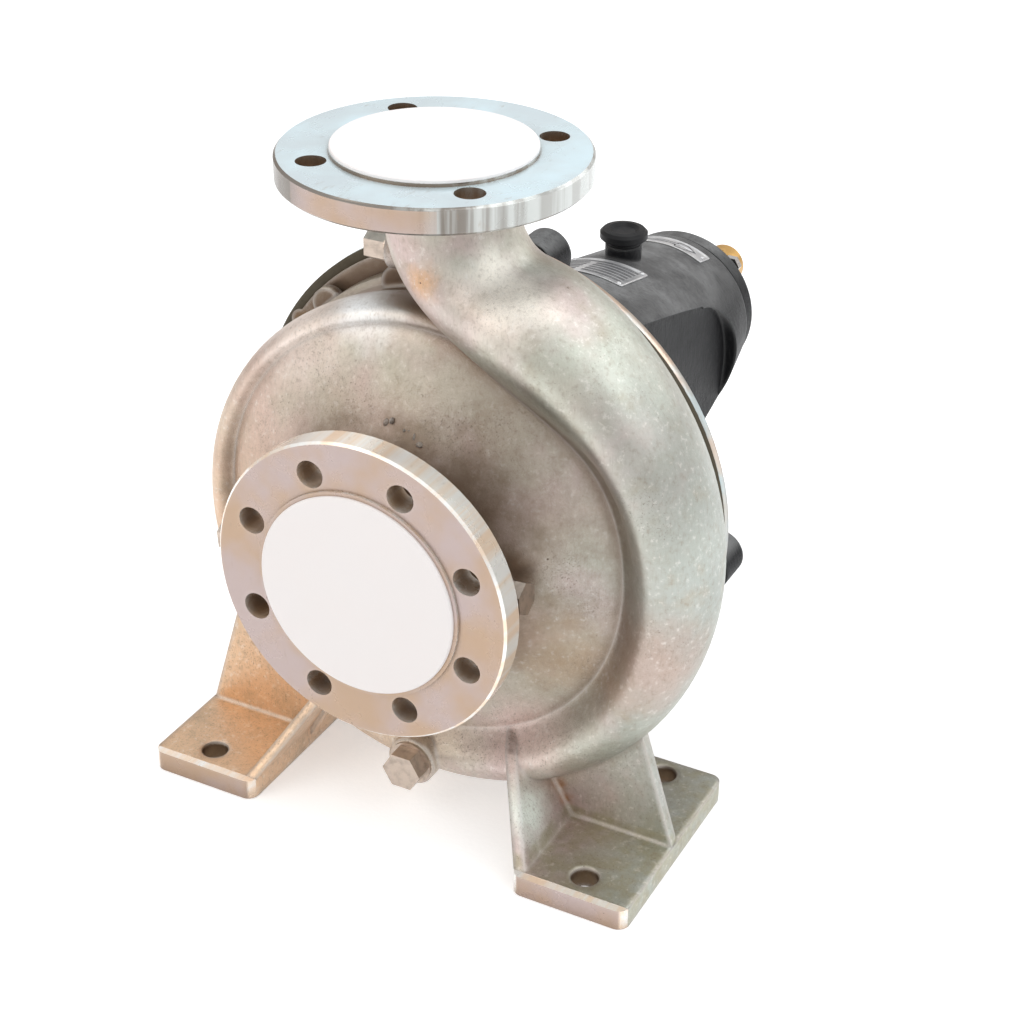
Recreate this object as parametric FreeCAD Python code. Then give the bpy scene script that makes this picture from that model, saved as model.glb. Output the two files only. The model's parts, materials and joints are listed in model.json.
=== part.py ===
"""End suction centrifugal pump, size 65-250, with a volute casing on feet and an oil bearing bracket.

Frame: +Z up, z = 0 on the ground under the feet, x = 0 on the shaft axis, y = 0 at the middle of
the casing's foot bolts. The suction flange faces -Y and the shaft end points to +Y. Millimetres.
The lengths below count y from the discharge centre line, and save() moves each piece to the frame.
"""
import FreeCAD, Part
import math
import os

V = FreeCAD.Vector
os.makedirs("parts", exist_ok=True)

# Overall sizes
shaft_height = 200.0
suction_reach = 100.0
discharge_reach = 250.0
shaft_end_reach = 470.0

# Fits and clearances
seat_gap = 0.1
running_gap = 0.35
axial_gap = 1.0

# Flanges, 16 bar drilling
suction_bore = 80.0
suction_flange_dia = 200.0
suction_flange_thick = 20.0
suction_pitch_dia = 160.0
suction_bolt_count = 8
suction_face_dia = 138.0
discharge_bore = 65.0
discharge_flange_dia = 185.0
discharge_flange_thick = 18.0
discharge_pitch_dia = 145.0
discharge_bolt_count = 4
discharge_face_dia = 122.0
flange_hole_dia = 18.0
raised_face_height = 2.0
flange_edge_round = 1.5

# Volute: the radius grows from the tongue all the way round
tongue_angle = 97.0
volute_start_radius = 146.2
volute_growth = 59.9
volute_growth_power = 0.85
volute_least_radius = 155.5
volute_inner_radius = 138.0
volute_valley_radius = 140.0
volute_valley_drop = 3.0
volute_start_half_width = 13.5
volute_least_half_width = 18.0
volute_width_growth = 35.2
volute_centre_y = -4.0
volute_wall = 8.0
throat_half_width = 9.5
throat_overlap = 6.0
throat_climb = 20.0
throat_turn = 354.0
volute_end_angle = 395.0
volute_step = 30.0
neck_outer_radius = 40.0

# Casing body round the impeller
casing_bore_radius = 130.0
casing_barrel_radius = 149.5
casing_ring_radius = 153.0
casing_ring_thick = 18.0
casing_back_y = 54.0
suction_neck_radius = 49.0
casing_ear_angles = (45.5, 134.5)
casing_ear_radius = 11.0
casing_ear_centre_radius = 152.5
casing_ear_thick = 7.0
jack_lug_angle = 105.5
jack_lug_radius = 12.5
jack_lug_centre_radius = 150.5
jack_lug_thick = 12.0

# Feet
foot_hole_spacing_x = 280.0
foot_hole_spacing_y = 120.0
foot_hole_dia = 18.0
foot_centre_y = -5.5
foot_inner_x = 97.0
foot_outer_x = 177.0
foot_front_y = -85.5
foot_rear_y = 70.0
foot_thick = 14.5
foot_corner = 8.0
leg_wall = 8.0
leg_lean = 0.58
leg_front_top_y = -36.0
leg_rise = 66.0
leg_tuck_y = -14.0
leg_tuck = 82.0
leg_top = 128.0
gusset_front_y = -13.0
gusset_wall = 8.0
gusset_top_x = 148.0
gusset_top = 106.0

# Casing cover
gasket_thick = 2.0
gasket_width = 8.0
cover_step = 2.0
cover_rim_radius = 165.0
cover_rim_draft = 3.0
cover_rim_thick = 12.0
cover_nib_angles = (45.0, 147.0)
cover_nib_radius = 8.0
cover_nib_centre_radius = 160.0
cover_wall = 12.0
cover_front_y = 13.0
seal_chamber_radius = 36.0
seal_chamber_wall = 14.0
seal_chamber_end_y = 100.0
seal_cover_radius = 66.0
seal_cover_thick = 12.0
seal_screw_count = 4
seal_screw_dia = 8.0
cover_stud_count = 12
cover_stud_dia = 10.0
cover_stud_radius = 144.0
cover_stud_turn = 5.0
cover_stud_depth = 14.0
cover_nut_across = 16.0
cover_nut_height = 8.0

# Impeller
impeller_radius = 125.0
impeller_outlet_width = 10.0
impeller_shroud = 4.0
impeller_eye_radius = 50.0
impeller_eye_bore = 42.0
impeller_vane_count = 6
impeller_vane_thick = 5.0
impeller_vane_sweep = 110.0
impeller_vane_inlet_radius = 44.0
impeller_hub_radius = 24.0
impeller_hub_front_y = -34.0
impeller_nut_across = 34.0
impeller_nut_height = 14.0
balance_hole_dia = 6.0
wear_seat_y = -58.0
wear_ring_radius = 58.0
wear_ring_length = 14.0

# Shaft
shaft_thread_radius = 10.0
shaft_nose_radius = 12.0
sleeve_seat_radius = 13.0
sleeve_radius = 18.0
sleeve_end_y = 110.0
shaft_mid_radius = 24.0
shaft_back_radius = 17.0
shaft_end_radius = 16.0
shaft_end_length = 80.0
shaft_relief = 2.0
coupling_key_width = 10.0
coupling_key_height = 8.0
impeller_key_width = 8.0
impeller_key_height = 7.0
impeller_key_length = 36.0

# Bearings
bearing_bore = 40.0
bearing_outer = 90.0
bearing_width = 23.0
bearing_pitch_radius = 32.5
bearing_ball_dia = 15.0
bearing_ball_count = 8
bearing_roller_dia = 12.0
bearing_roller_length = 14.0
bearing_roller_count = 12
front_bearing_y = 178.0
rear_bearing_y = 335.0
lock_nut_radius = 28.0
lock_nut_thick = 11.0

# Bearing bracket
bracket_flange_radius = 154.0
bracket_flange_thick = 11.0
barrel_rear_radius = 62.0
barrel_rear_y = 362.0
barrel_taper = 0.2
barrel_wall = 10.0
lantern_end_y = 160.0
flank_half_width = 60.0
flank_front_y = 92.0
flank_arch_y = 262.0
flank_arch_drop = 10.0
flank_arch_radius = 62.0
sump_radius = 50.0
bracket_lug_angles = (80.0, 170.0, 260.0, 350.0)
bracket_lug_reach = 173.0
bracket_lug_radius = 16.0
bracket_lug_thick = 26.0
bracket_lug_hole = 13.0
bearing_screw_count = 4
bearing_screw_dia = 8.0
bearing_screw_radius = 52.0
front_cover_radius = 60.0
front_cover_thick = 12.0
rear_cover_radius = 58.5
rear_cover_thick = 22.0
rear_cover_groove = 3.0
oil_seal_width = 8.0
oil_seal_radius = 28.0
filler_y = 268.0
filler_neck_radius = 13.0
filler_neck_top = 91.0
filler_bore_radius = 8.0
filler_cap_radius = 17.0
filler_cap_thick = 8.0
sight_glass_y = 250.0
sight_glass_drop = 15.0
sight_glass_radius = 17.0
oil_drain_y = 300.0
oil_drain_across = 17.0
support_y = 340.0
support_half_width = 52.0
support_thick = 8.0
support_depth = 46.0
support_hole_spacing = 70.0
support_hole_dia = 14.0
pad_half_width = 32.0
pad_depth = 42.0
pad_drop = 84.0
support_screw_dia = 10.0

# Plugs, each size as (across flats, head height, thread radius, washer radius, boss radius)
drain_plug_size = (24.0, 12.0, 8.5, 15.0, 17.0)
gauge_plug_size = (19.0, 14.0, 6.5, 11.0, 13.0)
plug_thread_length = 17.0
plug_washer_thick = 2.0
tapping_drill_radius = 4.0
tapping_thread_depth = 20.0
gauge_plug_z = 182.0
gauge_plug_x = -28.0
drain_plug_y = -40.0
drain_drop = 162.0
suction_tap_y = -64.0
suction_tap_angles = (4.0, 184.0)
suction_tap_reaches = (80.0, 103.0)

# White discs that close the two ports
port_cover_thick = 2.0
suction_cover_radius = 66.5
discharge_cover_radius = 60.5

axis_point = V(0, 0, shaft_height)
axis_y = V(0, 1, 0)


def save(shape, name):
    """Write one piece to its own file, moved so that y = 0 is the middle of the foot bolts."""
    shape.translate(V(0, -foot_centre_y, 0))
    shape.exportStep("parts/%s.step" % name)


def turned(profile, centre_z=shaft_height):
    """Revolve a closed outline of (radius, y) points about the shaft axis."""
    points = [V(radius, y, centre_z) for radius, y in profile]
    wire = Part.makePolygon(points + [points[0]])
    return Part.Face(wire).revolve(V(0, 0, centre_z), axis_y, 360)


def ring(outer, inner, start, end):
    """A plain ring about the shaft axis, from y = start to y = end."""
    return turned([(inner, start), (outer, start), (outer, end), (inner, end)])


def rod(radius, start, end, x=0.0, up=0.0):
    """A solid rod along Y, x to the side of the shaft axis and up above it."""
    return Part.makeCylinder(radius, end - start, V(x, start, shaft_height + up), axis_y)


def polar(radius, angle, y=0.0):
    """A point at an angle about the shaft axis, counter-clockwise from +X seen from the suction."""
    turn = math.radians(angle)
    return V(radius * math.cos(turn), y, shaft_height + radius * math.sin(turn))


def around(radius, count, first):
    """Evenly spaced (x, up) places on a circle about the shaft axis."""
    turns = [math.radians(first + 360.0 * step / count) for step in range(count)]
    return [(radius * math.cos(turn), radius * math.sin(turn)) for turn in turns]


def hexagon(across, height, place, direction):
    """A hexagon prism of a given width across flats."""
    corner = across / math.sqrt(3)
    points = [V(corner * math.cos(math.radians(60 * n)), corner * math.sin(math.radians(60 * n)), 0)
              for n in range(7)]
    prism = Part.Face(Part.makePolygon(points)).extrude(V(0, 0, height))
    prism.Placement = FreeCAD.Placement(place, FreeCAD.Rotation(V(0, 0, 1), direction))
    return prism


def box(x0, x1, y0, y1, z0, z1):
    """A box between two corners."""
    return Part.makeBox(x1 - x0, y1 - y0, z1 - z0, V(x0, y0, z0))


def joined(shapes):
    """Fuse pieces into one solid without left-over seams."""
    first = shapes[0]
    return first.multiFuse(shapes[1:]).removeSplitter() if len(shapes) > 1 else first


# Volute casing

def share(angle):
    """How far round from the tongue an angle is, 0 to 1."""
    return (angle - 95.0) / 360.0


def outer_radius(angle):
    grown = volute_start_radius + volute_growth * max(0.0, share(angle)) ** volute_growth_power
    return max(volute_least_radius, grown)


def valley_radius(angle):
    """Where the tube's front runs out in the front wall, further in where the tube is large."""
    return volute_valley_radius - volute_valley_drop * min(1.0, max(0.0, (share(angle) - 0.25) / 0.25))


def half_width(angle):
    return max(volute_least_half_width, volute_start_half_width + volute_width_growth * share(angle))


def oval_points(inner_end, outer_end, width, centre_y):
    """Twelve points of an oval across the flow, between two (x, up) points, with its width along Y."""
    middle = V((inner_end[0] + outer_end[0]) / 2, centre_y, shaft_height + (inner_end[1] + outer_end[1]) / 2)
    reach = V((outer_end[0] - inner_end[0]) / 2, 0, (outer_end[1] - inner_end[1]) / 2)
    turns = [math.radians(30 * step) for step in range(12)]
    return [middle + reach * math.cos(turn) + axis_y * (width * math.sin(turn)) for turn in turns]


def closed_curve(points):
    curve = Part.BSplineCurve()
    curve.interpolate(Points=points, PeriodicFlag=True)
    return Part.Wire(curve.toShape())


def oval(inner_end, outer_end, width, centre_y):
    return closed_curve(oval_points(inner_end, outer_end, width, centre_y))


def tube_section(angle):
    """The tube's outside at an angle: an oval whose front runs out softly in the front wall."""
    across, up = math.cos(math.radians(angle)), math.sin(math.radians(angle))
    inner, outer, width = volute_inner_radius, outer_radius(angle), half_width(angle)
    points = oval_points((inner * across, inner * up), (outer * across, outer * up), width, volute_centre_y)
    valley = valley_radius(angle)
    valley_y = wall_level(valley) + 1.5
    ridge_y = volute_centre_y - width
    points[6] = polar(valley - 10, angle, valley_y + 4)
    points[7] = polar(valley, angle, valley_y)
    points[8] = polar(((inner + outer) / 2 + valley) / 2, angle, (valley_y + ridge_y) / 2)
    return closed_curve(points)


def radial_oval(angle, start, end, width):
    """An oval in the radial plane at an angle, between two radii."""
    across, up = math.cos(math.radians(angle)), math.sin(math.radians(angle))
    return oval((start * across, start * up), (end * across, end * up), width, volute_centre_y)


def space_start(angle):
    """Where the wide water space begins: in the bore at the tongue, outside the crease further on."""
    return casing_bore_radius - throat_overlap + throat_climb * min(1.0, share(angle) / 0.4)


def spiral_oval(angle, wall):
    """The volute's section at an angle: its outside, or with a wall, the water space inside it."""
    if wall == 0:
        return tube_section(angle)
    return radial_oval(angle, space_start(angle), outer_radius(angle) - wall, half_width(angle) - wall)


def throat():
    """The narrow slot that leads from the impeller into the spiral, all the way to the tongue."""
    start = casing_bore_radius - throat_overlap
    turns = [tongue_angle - 2.0 + volute_step * step for step in range(12)] + [tongue_angle + throat_turn]
    ovals = []
    for angle in turns:
        end = min(outer_radius(angle) - volute_wall - 1, space_start(angle) + 2 * throat_overlap)
        ovals.append(radial_oval(angle, start, end, throat_half_width))
    return Part.makeLoft(ovals, True, False)


def nozzle_ovals(wall):
    """Sections where the volute leaves the spiral and climbs to the discharge flange."""
    back = discharge_reach - discharge_flange_thick
    bore = discharge_bore / 2
    if wall == 0:
        places = [((28.0, 137.0), (83.0, 186.0), 45.5, -4.0),
                  ((-10.0, 168.0), (62.0, 192.0), 43.0, -2.5),
                  ((-24.0, 190.0), (52.5, 206.0), 41.0, -1.0),
                  ((-neck_outer_radius, back), (neck_outer_radius, back), neck_outer_radius, 0.0)]
    else:
        places = [((34.0, 142.5), (77.0, 180.5), 37.5, -4.0),
                  ((-2.0, 171.0), (54.0, 189.5), 35.0, -2.5),
                  ((-15.5, 192.0), (44.5, 204.5), 33.0, -1.0),
                  ((-bore, back - 4), (bore, back - 4), bore, 0.0),
                  ((-bore, discharge_reach + 1), (bore, discharge_reach + 1), bore, 0.0)]
    return [oval(*place) for place in places]


def scroll(wall):
    """The whole spiral and nozzle, as the outside form or as the water space."""
    first_end = tongue_angle - 2.0 + 2 * volute_step
    start = [spiral_oval(tongue_angle - 2.0 + volute_step * step, wall) for step in range(3)]
    if wall == 0:
        start = [spiral_oval(tongue_angle - 2.0 - volute_step / 2, wall)] + start
    count = int(round((volute_end_angle - first_end) / volute_step))
    main = [spiral_oval(first_end + volute_step * step, wall) for step in range(count + 1)]
    small = Part.makeLoft(start, True, False)
    large = Part.makeLoft(main + nozzle_ovals(wall), True, False)
    return small, large


def front_wall_curve():
    """The bell-shaped front wall from the suction neck to the volute, as (radius, y) points."""
    return [(suction_neck_radius + 1.5, -71.0), (56.0, -65.0), (66.0, -58.0), (80.0, -48.5),
            (110.0, -33.5), (126.0, -27.0), (138.0, -22.3), (146.0, -16.0), (casing_barrel_radius - 0.5, -4.0)]


def wall_level(radius):
    """How far forward the front wall stands at a radius."""
    curve = front_wall_curve()
    for (low, low_y), (high, high_y) in zip(curve, curve[1:]):
        if low <= radius <= high:
            return low_y + (high_y - low_y) * (radius - low) / (high - low)
    return curve[-1][1]


def casing_body():
    """The turned body that closes the volute in front and carries the rear ring."""
    curve = Part.BSplineCurve()
    curve.interpolate([V(r, y, shaft_height) for r, y in front_wall_curve()])
    neck_front = -suction_reach + suction_flange_thick
    first, last = front_wall_curve()[0], front_wall_curve()[-1]
    ring_front = casing_back_y - casing_ring_thick
    head = [V(0, neck_front, shaft_height), V(suction_neck_radius, neck_front, shaft_height),
            V(first[0], first[1], shaft_height)]
    tail = [V(last[0], last[1], shaft_height), V(casing_barrel_radius, 4, shaft_height),
            V(casing_barrel_radius, ring_front - 2, shaft_height),
            V(casing_ring_radius, ring_front + 2, shaft_height),
            V(casing_ring_radius, casing_back_y - cover_step, shaft_height),
            V(casing_bore_radius + gasket_width + 2, casing_back_y - cover_step, shaft_height),
            V(casing_bore_radius + gasket_width + 2, casing_back_y, shaft_height),
            V(0, casing_back_y, shaft_height)]
    edges = [Part.makePolygon(head).Edges, [curve.toShape()], Part.makePolygon(tail).Edges,
             [Part.makeLine(tail[-1], head[0])]]
    wire = Part.Wire([edge for group in edges for edge in group])
    return Part.Face(wire).revolve(axis_point, axis_y, 360)


def casing_space():
    """What is open inside the turned body: eye, wear ring seat, impeller chamber and rear bore."""
    eye = suction_bore / 2
    ring_end = wear_seat_y + wear_ring_length
    profile = [(0, -suction_reach - 1), (eye, -suction_reach - 1), (eye, wear_seat_y),
               (wear_ring_radius, wear_seat_y), (wear_ring_radius, ring_end + 2), (66, ring_end + 3),
               (92, -31), (impeller_radius, -18), (casing_bore_radius, -14),
               (casing_bore_radius, casing_back_y + 1), (0, casing_back_y + 1)]
    return turned(profile)


def bolt_holes(count, pitch_dia, first_angle, place, direction, side, depth):
    """Drilled holes on a bolt circle: side is the direction that angles are counted from."""
    other = direction.cross(side)
    holes = []
    for step in range(count):
        turn = math.radians(first_angle + 360.0 * step / count)
        centre = place + side * (pitch_dia / 2 * math.cos(turn)) + other * (pitch_dia / 2 * math.sin(turn))
        holes.append(Part.makeCylinder(flange_hole_dia / 2, depth, centre, direction))
    return holes


def suction_flange():
    face_y = -suction_reach
    rim_y = face_y + raised_face_height
    back_y = face_y + suction_flange_thick
    radius = suction_flange_dia / 2
    edge = flange_edge_round
    disc = turned([(0, face_y), (suction_face_dia / 2, face_y), (suction_face_dia / 2, rim_y),
                   (radius - edge, rim_y), (radius, rim_y + edge), (radius, back_y - edge),
                   (radius - edge, back_y), (0, back_y)])
    holes = bolt_holes(suction_bolt_count, suction_pitch_dia, 22.5, V(0, face_y - 1, shaft_height),
                       axis_y, V(1, 0, 0), suction_flange_thick + 2)
    return disc, holes


def discharge_flange():
    face = shaft_height + discharge_reach
    rim = face - raised_face_height
    back = face - discharge_flange_thick
    radius = discharge_flange_dia / 2
    edge = flange_edge_round
    outline = [(0, face), (discharge_face_dia / 2, face), (discharge_face_dia / 2, rim), (radius - edge, rim),
               (radius, rim - edge), (radius, back + edge), (radius - edge, back), (0, back)]
    points = [V(r, 0, z) for r, z in outline]
    disc = Part.Face(Part.makePolygon(points + [points[0]])).revolve(V(0, 0, 0), V(0, 0, 1), 360)
    holes = bolt_holes(discharge_bolt_count, discharge_pitch_dia, 45.0, V(0, 0, face + 1),
                       V(0, 0, -1), V(1, 0, 0), discharge_flange_thick + 2)
    return disc, holes


def foot(side):
    """One foot: base plate, leaning leg wall and cross rib, on the side +1 or -1."""
    inner, outer = foot_inner_x, foot_outer_x
    base = box(inner, outer, foot_front_y, foot_rear_y, 0, foot_thick)
    base = base.makeFillet(foot_corner, [edge for edge in base.Edges if abs(edge.tangentAt(0).z) > 0.9])
    front = foot_front_y + foot_corner / 2
    rear = foot_rear_y - foot_corner / 2
    outline = [(front, foot_thick - 2), (leg_front_top_y, leg_rise), (leg_tuck_y, leg_tuck),
               (leg_tuck_y, leg_top), (casing_back_y - casing_ring_thick, leg_top),
               (casing_back_y - 8, leg_rise), (rear, foot_thick - 2)]
    leg_points = [V(inner - leg_lean * (z - foot_thick), y, z) for y, z in outline]
    leg = Part.Face(Part.makePolygon(leg_points + [leg_points[0]])).extrude(V(leg_wall, 0, 0))
    rib_points = [V(inner + 2, gusset_front_y, 4), V(outer - 1, gusset_front_y, 4),
                  V(outer - 1, gusset_front_y, foot_thick), V(gusset_top_x, gusset_front_y, gusset_top),
                  V(inner - leg_lean * (leg_top - foot_thick), gusset_front_y, leg_top)]
    rib = Part.Face(Part.makePolygon(rib_points + [rib_points[0]])).extrude(V(0, gusset_wall, 0))
    shape = joined([base, leg, rib])
    for y in (-foot_hole_spacing_y / 2, foot_hole_spacing_y / 2):
        hole = Part.makeCylinder(foot_hole_dia / 2, foot_thick + 2,
                                 V(foot_hole_spacing_x / 2, foot_centre_y + y, -1))
        shape = shape.cut(hole)
    return shape if side > 0 else shape.mirror(V(0, 0, 0), V(1, 0, 0))


def lug(angle, radius, centre_radius, start, end, inner_radius):
    """A rounded lug that stands out of a ring."""
    tip = polar(centre_radius, angle, start)
    round_end = Part.makeCylinder(radius, end - start, tip, axis_y)
    root = polar(inner_radius, angle, start)
    direction = (tip - root)
    across = axis_y.cross(direction)
    across.normalize()
    points = [root + across * radius, tip + across * radius, tip - across * radius, root - across * radius]
    bridge = Part.Face(Part.makePolygon(points + [points[0]])).extrude(axis_y * (end - start))
    return round_end.fuse(bridge)


def tapping_places():
    """Face centre, outward direction, plug size and boss depth of each plugged tapping."""
    neck_side = V(gauge_plug_x, 0, shaft_height + gauge_plug_z)
    drain = V(0, drain_plug_y, shaft_height - drain_drop)
    places = {"gauge": (neck_side, V(-1, 0, 0), gauge_plug_size, 30.0),
              "drain": (drain, V(0, -1, 0), drain_plug_size, 34.0)}
    for index, (angle, reach) in enumerate(zip(suction_tap_angles, suction_tap_reaches)):
        centre = polar(reach, angle, suction_tap_y)
        direction = centre - V(0, suction_tap_y, shaft_height)
        direction.normalize()
        places["suction_%d" % (index + 1)] = (centre, direction, gauge_plug_size, reach - suction_bore / 2 + 6)
    return places


def volute_casing():
    """One casting, kept as touching solids: body, suction neck, two flanges and two feet."""
    small, large = scroll(0)
    body = casing_body().fuse(large).fuse(small)
    ring_front = casing_back_y - casing_ring_thick
    ear_back = casing_back_y - cover_step
    for angle in casing_ear_angles:
        body = body.fuse(lug(angle, casing_ear_radius, casing_ear_centre_radius, ear_back - casing_ear_thick,
                             ear_back, casing_bore_radius + 12))
    body = body.fuse(lug(jack_lug_angle, jack_lug_radius, jack_lug_centre_radius, ring_front - jack_lug_thick,
                         ring_front + 1, casing_bore_radius + 5))
    for centre, direction, size, depth in tapping_places().values():
        body = body.fuse(Part.makeCylinder(size[4], depth, centre, direction * -1))
    feet = [largest_solid(foot(side).cut(body)) for side in (1, -1)]
    flanges = []
    for disc, holes in (suction_flange(), discharge_flange()):
        body = body.cut(disc)
        for hole in holes:
            disc = disc.cut(hole)
        flanges.append(disc)
    for centre, direction, size, depth in tapping_places().values():
        body = body.cut(tapping(centre + direction, direction * -1, size[2] + seat_gap, depth + 7))
    small_space, large_space = scroll(volute_wall)
    for space in (casing_space(), large_space, small_space, throat()):
        body = body.cut(space)
    flanges = [flanges[0].cut(casing_space()), flanges[1].cut(large_space)]
    for x, up in around(cover_stud_radius, cover_stud_count, cover_stud_turn):
        body = body.cut(rod(cover_stud_dia / 2 + seat_gap, casing_back_y - cover_stud_depth,
                            casing_back_y + 1, x, up))
    core = rod(suction_neck_radius, -suction_reach - 1, wear_seat_y)
    neck = largest_solid(body.fuse(flanges[0]).common(core))
    flanges[0] = flanges[0].cut(core)
    return Part.makeCompound([largest_solid(body.cut(core)), neck] + flanges + feet)


def tapping(mouth, direction, wide, depth):
    """The room of a plug's thread, with a narrower drilled hole beyond it."""
    narrow = tapping_drill_radius
    shoulder = tapping_thread_depth + 1
    points = [V(0, 0, 0), V(wide, 0, 0), V(wide, 0, shoulder), V(narrow, 0, shoulder + 2),
              V(narrow, 0, depth), V(0, 0, depth)]
    tool = Part.Face(Part.makePolygon(points + [points[0]])).revolve(V(0, 0, 0), V(0, 0, 1), 360)
    tool.Placement = FreeCAD.Placement(mouth, FreeCAD.Rotation(V(0, 0, 1), direction))
    return tool


def largest_solid(shape):
    """The largest solid of a cut, without any chip that the cut leaves on the far side."""
    return max(shape.Solids, key=lambda solid: solid.Volume)


# Casing cover, seal and their fasteners

def cover_face_y():
    return casing_back_y + gasket_thick


def cover_back_y():
    return cover_face_y() + cover_rim_thick


def casing_wear_ring():
    return ring(wear_ring_radius - seat_gap, impeller_eye_radius + running_gap,
                wear_seat_y, wear_seat_y + wear_ring_length)


def casing_gasket():
    inner = casing_bore_radius + seat_gap
    return ring(inner + gasket_width, inner, casing_back_y, cover_face_y())


def casing_cover():
    """A dished cover with a spigot in the casing bore and the seal chamber at its middle."""
    spigot = casing_bore_radius - seat_gap
    pan = spigot - cover_wall
    front, face, back = cover_front_y, cover_face_y(), cover_back_y()
    inside = front + cover_wall
    chamber_out = seal_chamber_radius + seal_chamber_wall
    throat = sleeve_radius + 2
    profile = [(throat, front), (spigot, front), (spigot, face), (cover_rim_radius - 1, face),
               (cover_rim_radius, face + 1), (cover_rim_radius - cover_rim_draft, back - 1),
               (cover_rim_radius - cover_rim_draft - 1, back),
               (pan, back), (pan, inside + 5), (pan - 5, inside), (chamber_out + 6, inside),
               (chamber_out, inside + 6), (chamber_out, seal_chamber_end_y - 12),
               (seal_cover_radius, seal_chamber_end_y - 12), (seal_cover_radius, seal_chamber_end_y),
               (seal_chamber_radius, seal_chamber_end_y), (seal_chamber_radius, inside + 5),
               (seal_chamber_radius - 5, inside), (throat, inside)]
    cover = turned(profile)
    for angle in cover_nib_angles:
        cover = cover.fuse(lug(angle, cover_nib_radius, cover_nib_centre_radius, face, back - 1,
                               casing_bore_radius + 12))
    for x, up in around(cover_stud_radius, cover_stud_count, cover_stud_turn):
        cover = cover.cut(rod(cover_stud_dia / 2 + seat_gap, face - 1, back + 1, x, up))
    for x, up in seal_screw_places():
        cover = cover.cut(rod(seal_screw_dia / 2 + seat_gap, seal_chamber_end_y - 11,
                              seal_chamber_end_y + 1, x, up))
    return cover


def nut_seat_y():
    return cover_back_y() + bracket_flange_thick


def cover_studs():
    start = casing_back_y - cover_stud_depth + 1
    end = nut_seat_y() + cover_nut_height + 2
    places = around(cover_stud_radius, cover_stud_count, cover_stud_turn)
    return Part.makeCompound([rod(cover_stud_dia / 2, start, end, x, up) for x, up in places])


def cover_nuts():
    nuts = []
    for x, up in around(cover_stud_radius, cover_stud_count, cover_stud_turn):
        nut = hexagon(cover_nut_across, cover_nut_height, V(x, nut_seat_y(), shaft_height + up), axis_y)
        nuts.append(nut.cut(rod(cover_stud_dia / 2 + seat_gap, nut_seat_y() - 1,
                                nut_seat_y() + cover_nut_height + 1, x, up)))
    return Part.makeCompound(nuts)


def seal_screw_places():
    return around((seal_chamber_radius + seal_cover_radius) / 2 + 5, seal_screw_count, 45.0)


def seal_cover():
    start = seal_chamber_end_y
    end = start + seal_cover_thick
    bore = sleeve_radius + 1.5
    seat = seat_ring_radius() + seat_gap
    plate = turned([(seat, start), (seal_cover_radius, start), (seal_cover_radius, end - 1),
                    (seal_cover_radius - 1, end), (bore, end), (bore, start + 5), (seat, start + 5)])
    for x, up in seal_screw_places():
        plate = plate.cut(rod(seal_screw_dia / 2 + seat_gap, start - 1, end + 1, x, up))
    return plate


def seat_ring_radius():
    return sleeve_radius + 12


def seal_seat():
    """The fixed ring of the shaft seal, held in the seal cover."""
    end = seal_chamber_end_y + 5
    return ring(seat_ring_radius(), sleeve_radius + 1.5, end - 13, end)


def seal_ring():
    """The turning ring of the shaft seal, on the sleeve."""
    end = seal_chamber_end_y + 5 - 13 - running_gap
    return ring(sleeve_radius + 8, sleeve_radius + seat_gap, end - 12, end)


def seal_bellows():
    """The folded bellows with its end collar that presses the turning ring."""
    end = seal_chamber_end_y + 5 - 13 - running_gap - 12
    inner = sleeve_radius + seat_gap
    start = end - 36
    outline = [(inner, start), (inner + 9, start), (inner + 9, start + 8)]
    folds = 4
    pitch = (end - start - 12) / folds
    for fold in range(folds):
        low = start + 8 + fold * pitch
        outline += [(inner + 4, low + pitch * 0.25), (inner + 8, low + pitch * 0.75)]
    outline += [(inner + 7, end - 3), (inner + 7, end), (inner, end)]
    return turned(outline)


def screw(dia, length, head_across, head_height, place, direction):
    """A hexagon screw: the place is where the head seats, and the shank runs along the direction."""
    shank = Part.makeCylinder(dia / 2, length, place, direction)
    return shank.fuse(hexagon(head_across, head_height, place, direction * -1))


def seal_cover_screws():
    seat = seal_chamber_end_y + seal_cover_thick
    screws = [screw(seal_screw_dia, seal_cover_thick + 10, 13, 5.5, V(x, seat, shaft_height + up), axis_y * -1)
              for x, up in seal_screw_places()]
    return Part.makeCompound(screws)


# Plugs and their washers

def plug(centre, direction, size, length):
    """A hexagon plug with a chamfered head, seated on its washer."""
    across, height, thread_radius = size[:3]
    corner = across / math.sqrt(3)
    seat = centre + direction * plug_washer_thick
    thread = Part.makeCylinder(thread_radius, length + plug_washer_thick, seat, direction * -1)
    head = hexagon(across, height, seat, direction)
    chamfer = Part.makeCone(corner + height, across / 2 - 1, height + corner + 1, seat, direction)
    return thread.fuse(head.common(chamfer))


def plug_washer(centre, direction, size):
    disc = Part.makeCylinder(size[3], plug_washer_thick, centre, direction)
    return disc.cut(Part.makeCylinder(size[2] + seat_gap, plug_washer_thick + 2, centre - direction, direction))


# Rotor

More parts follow.
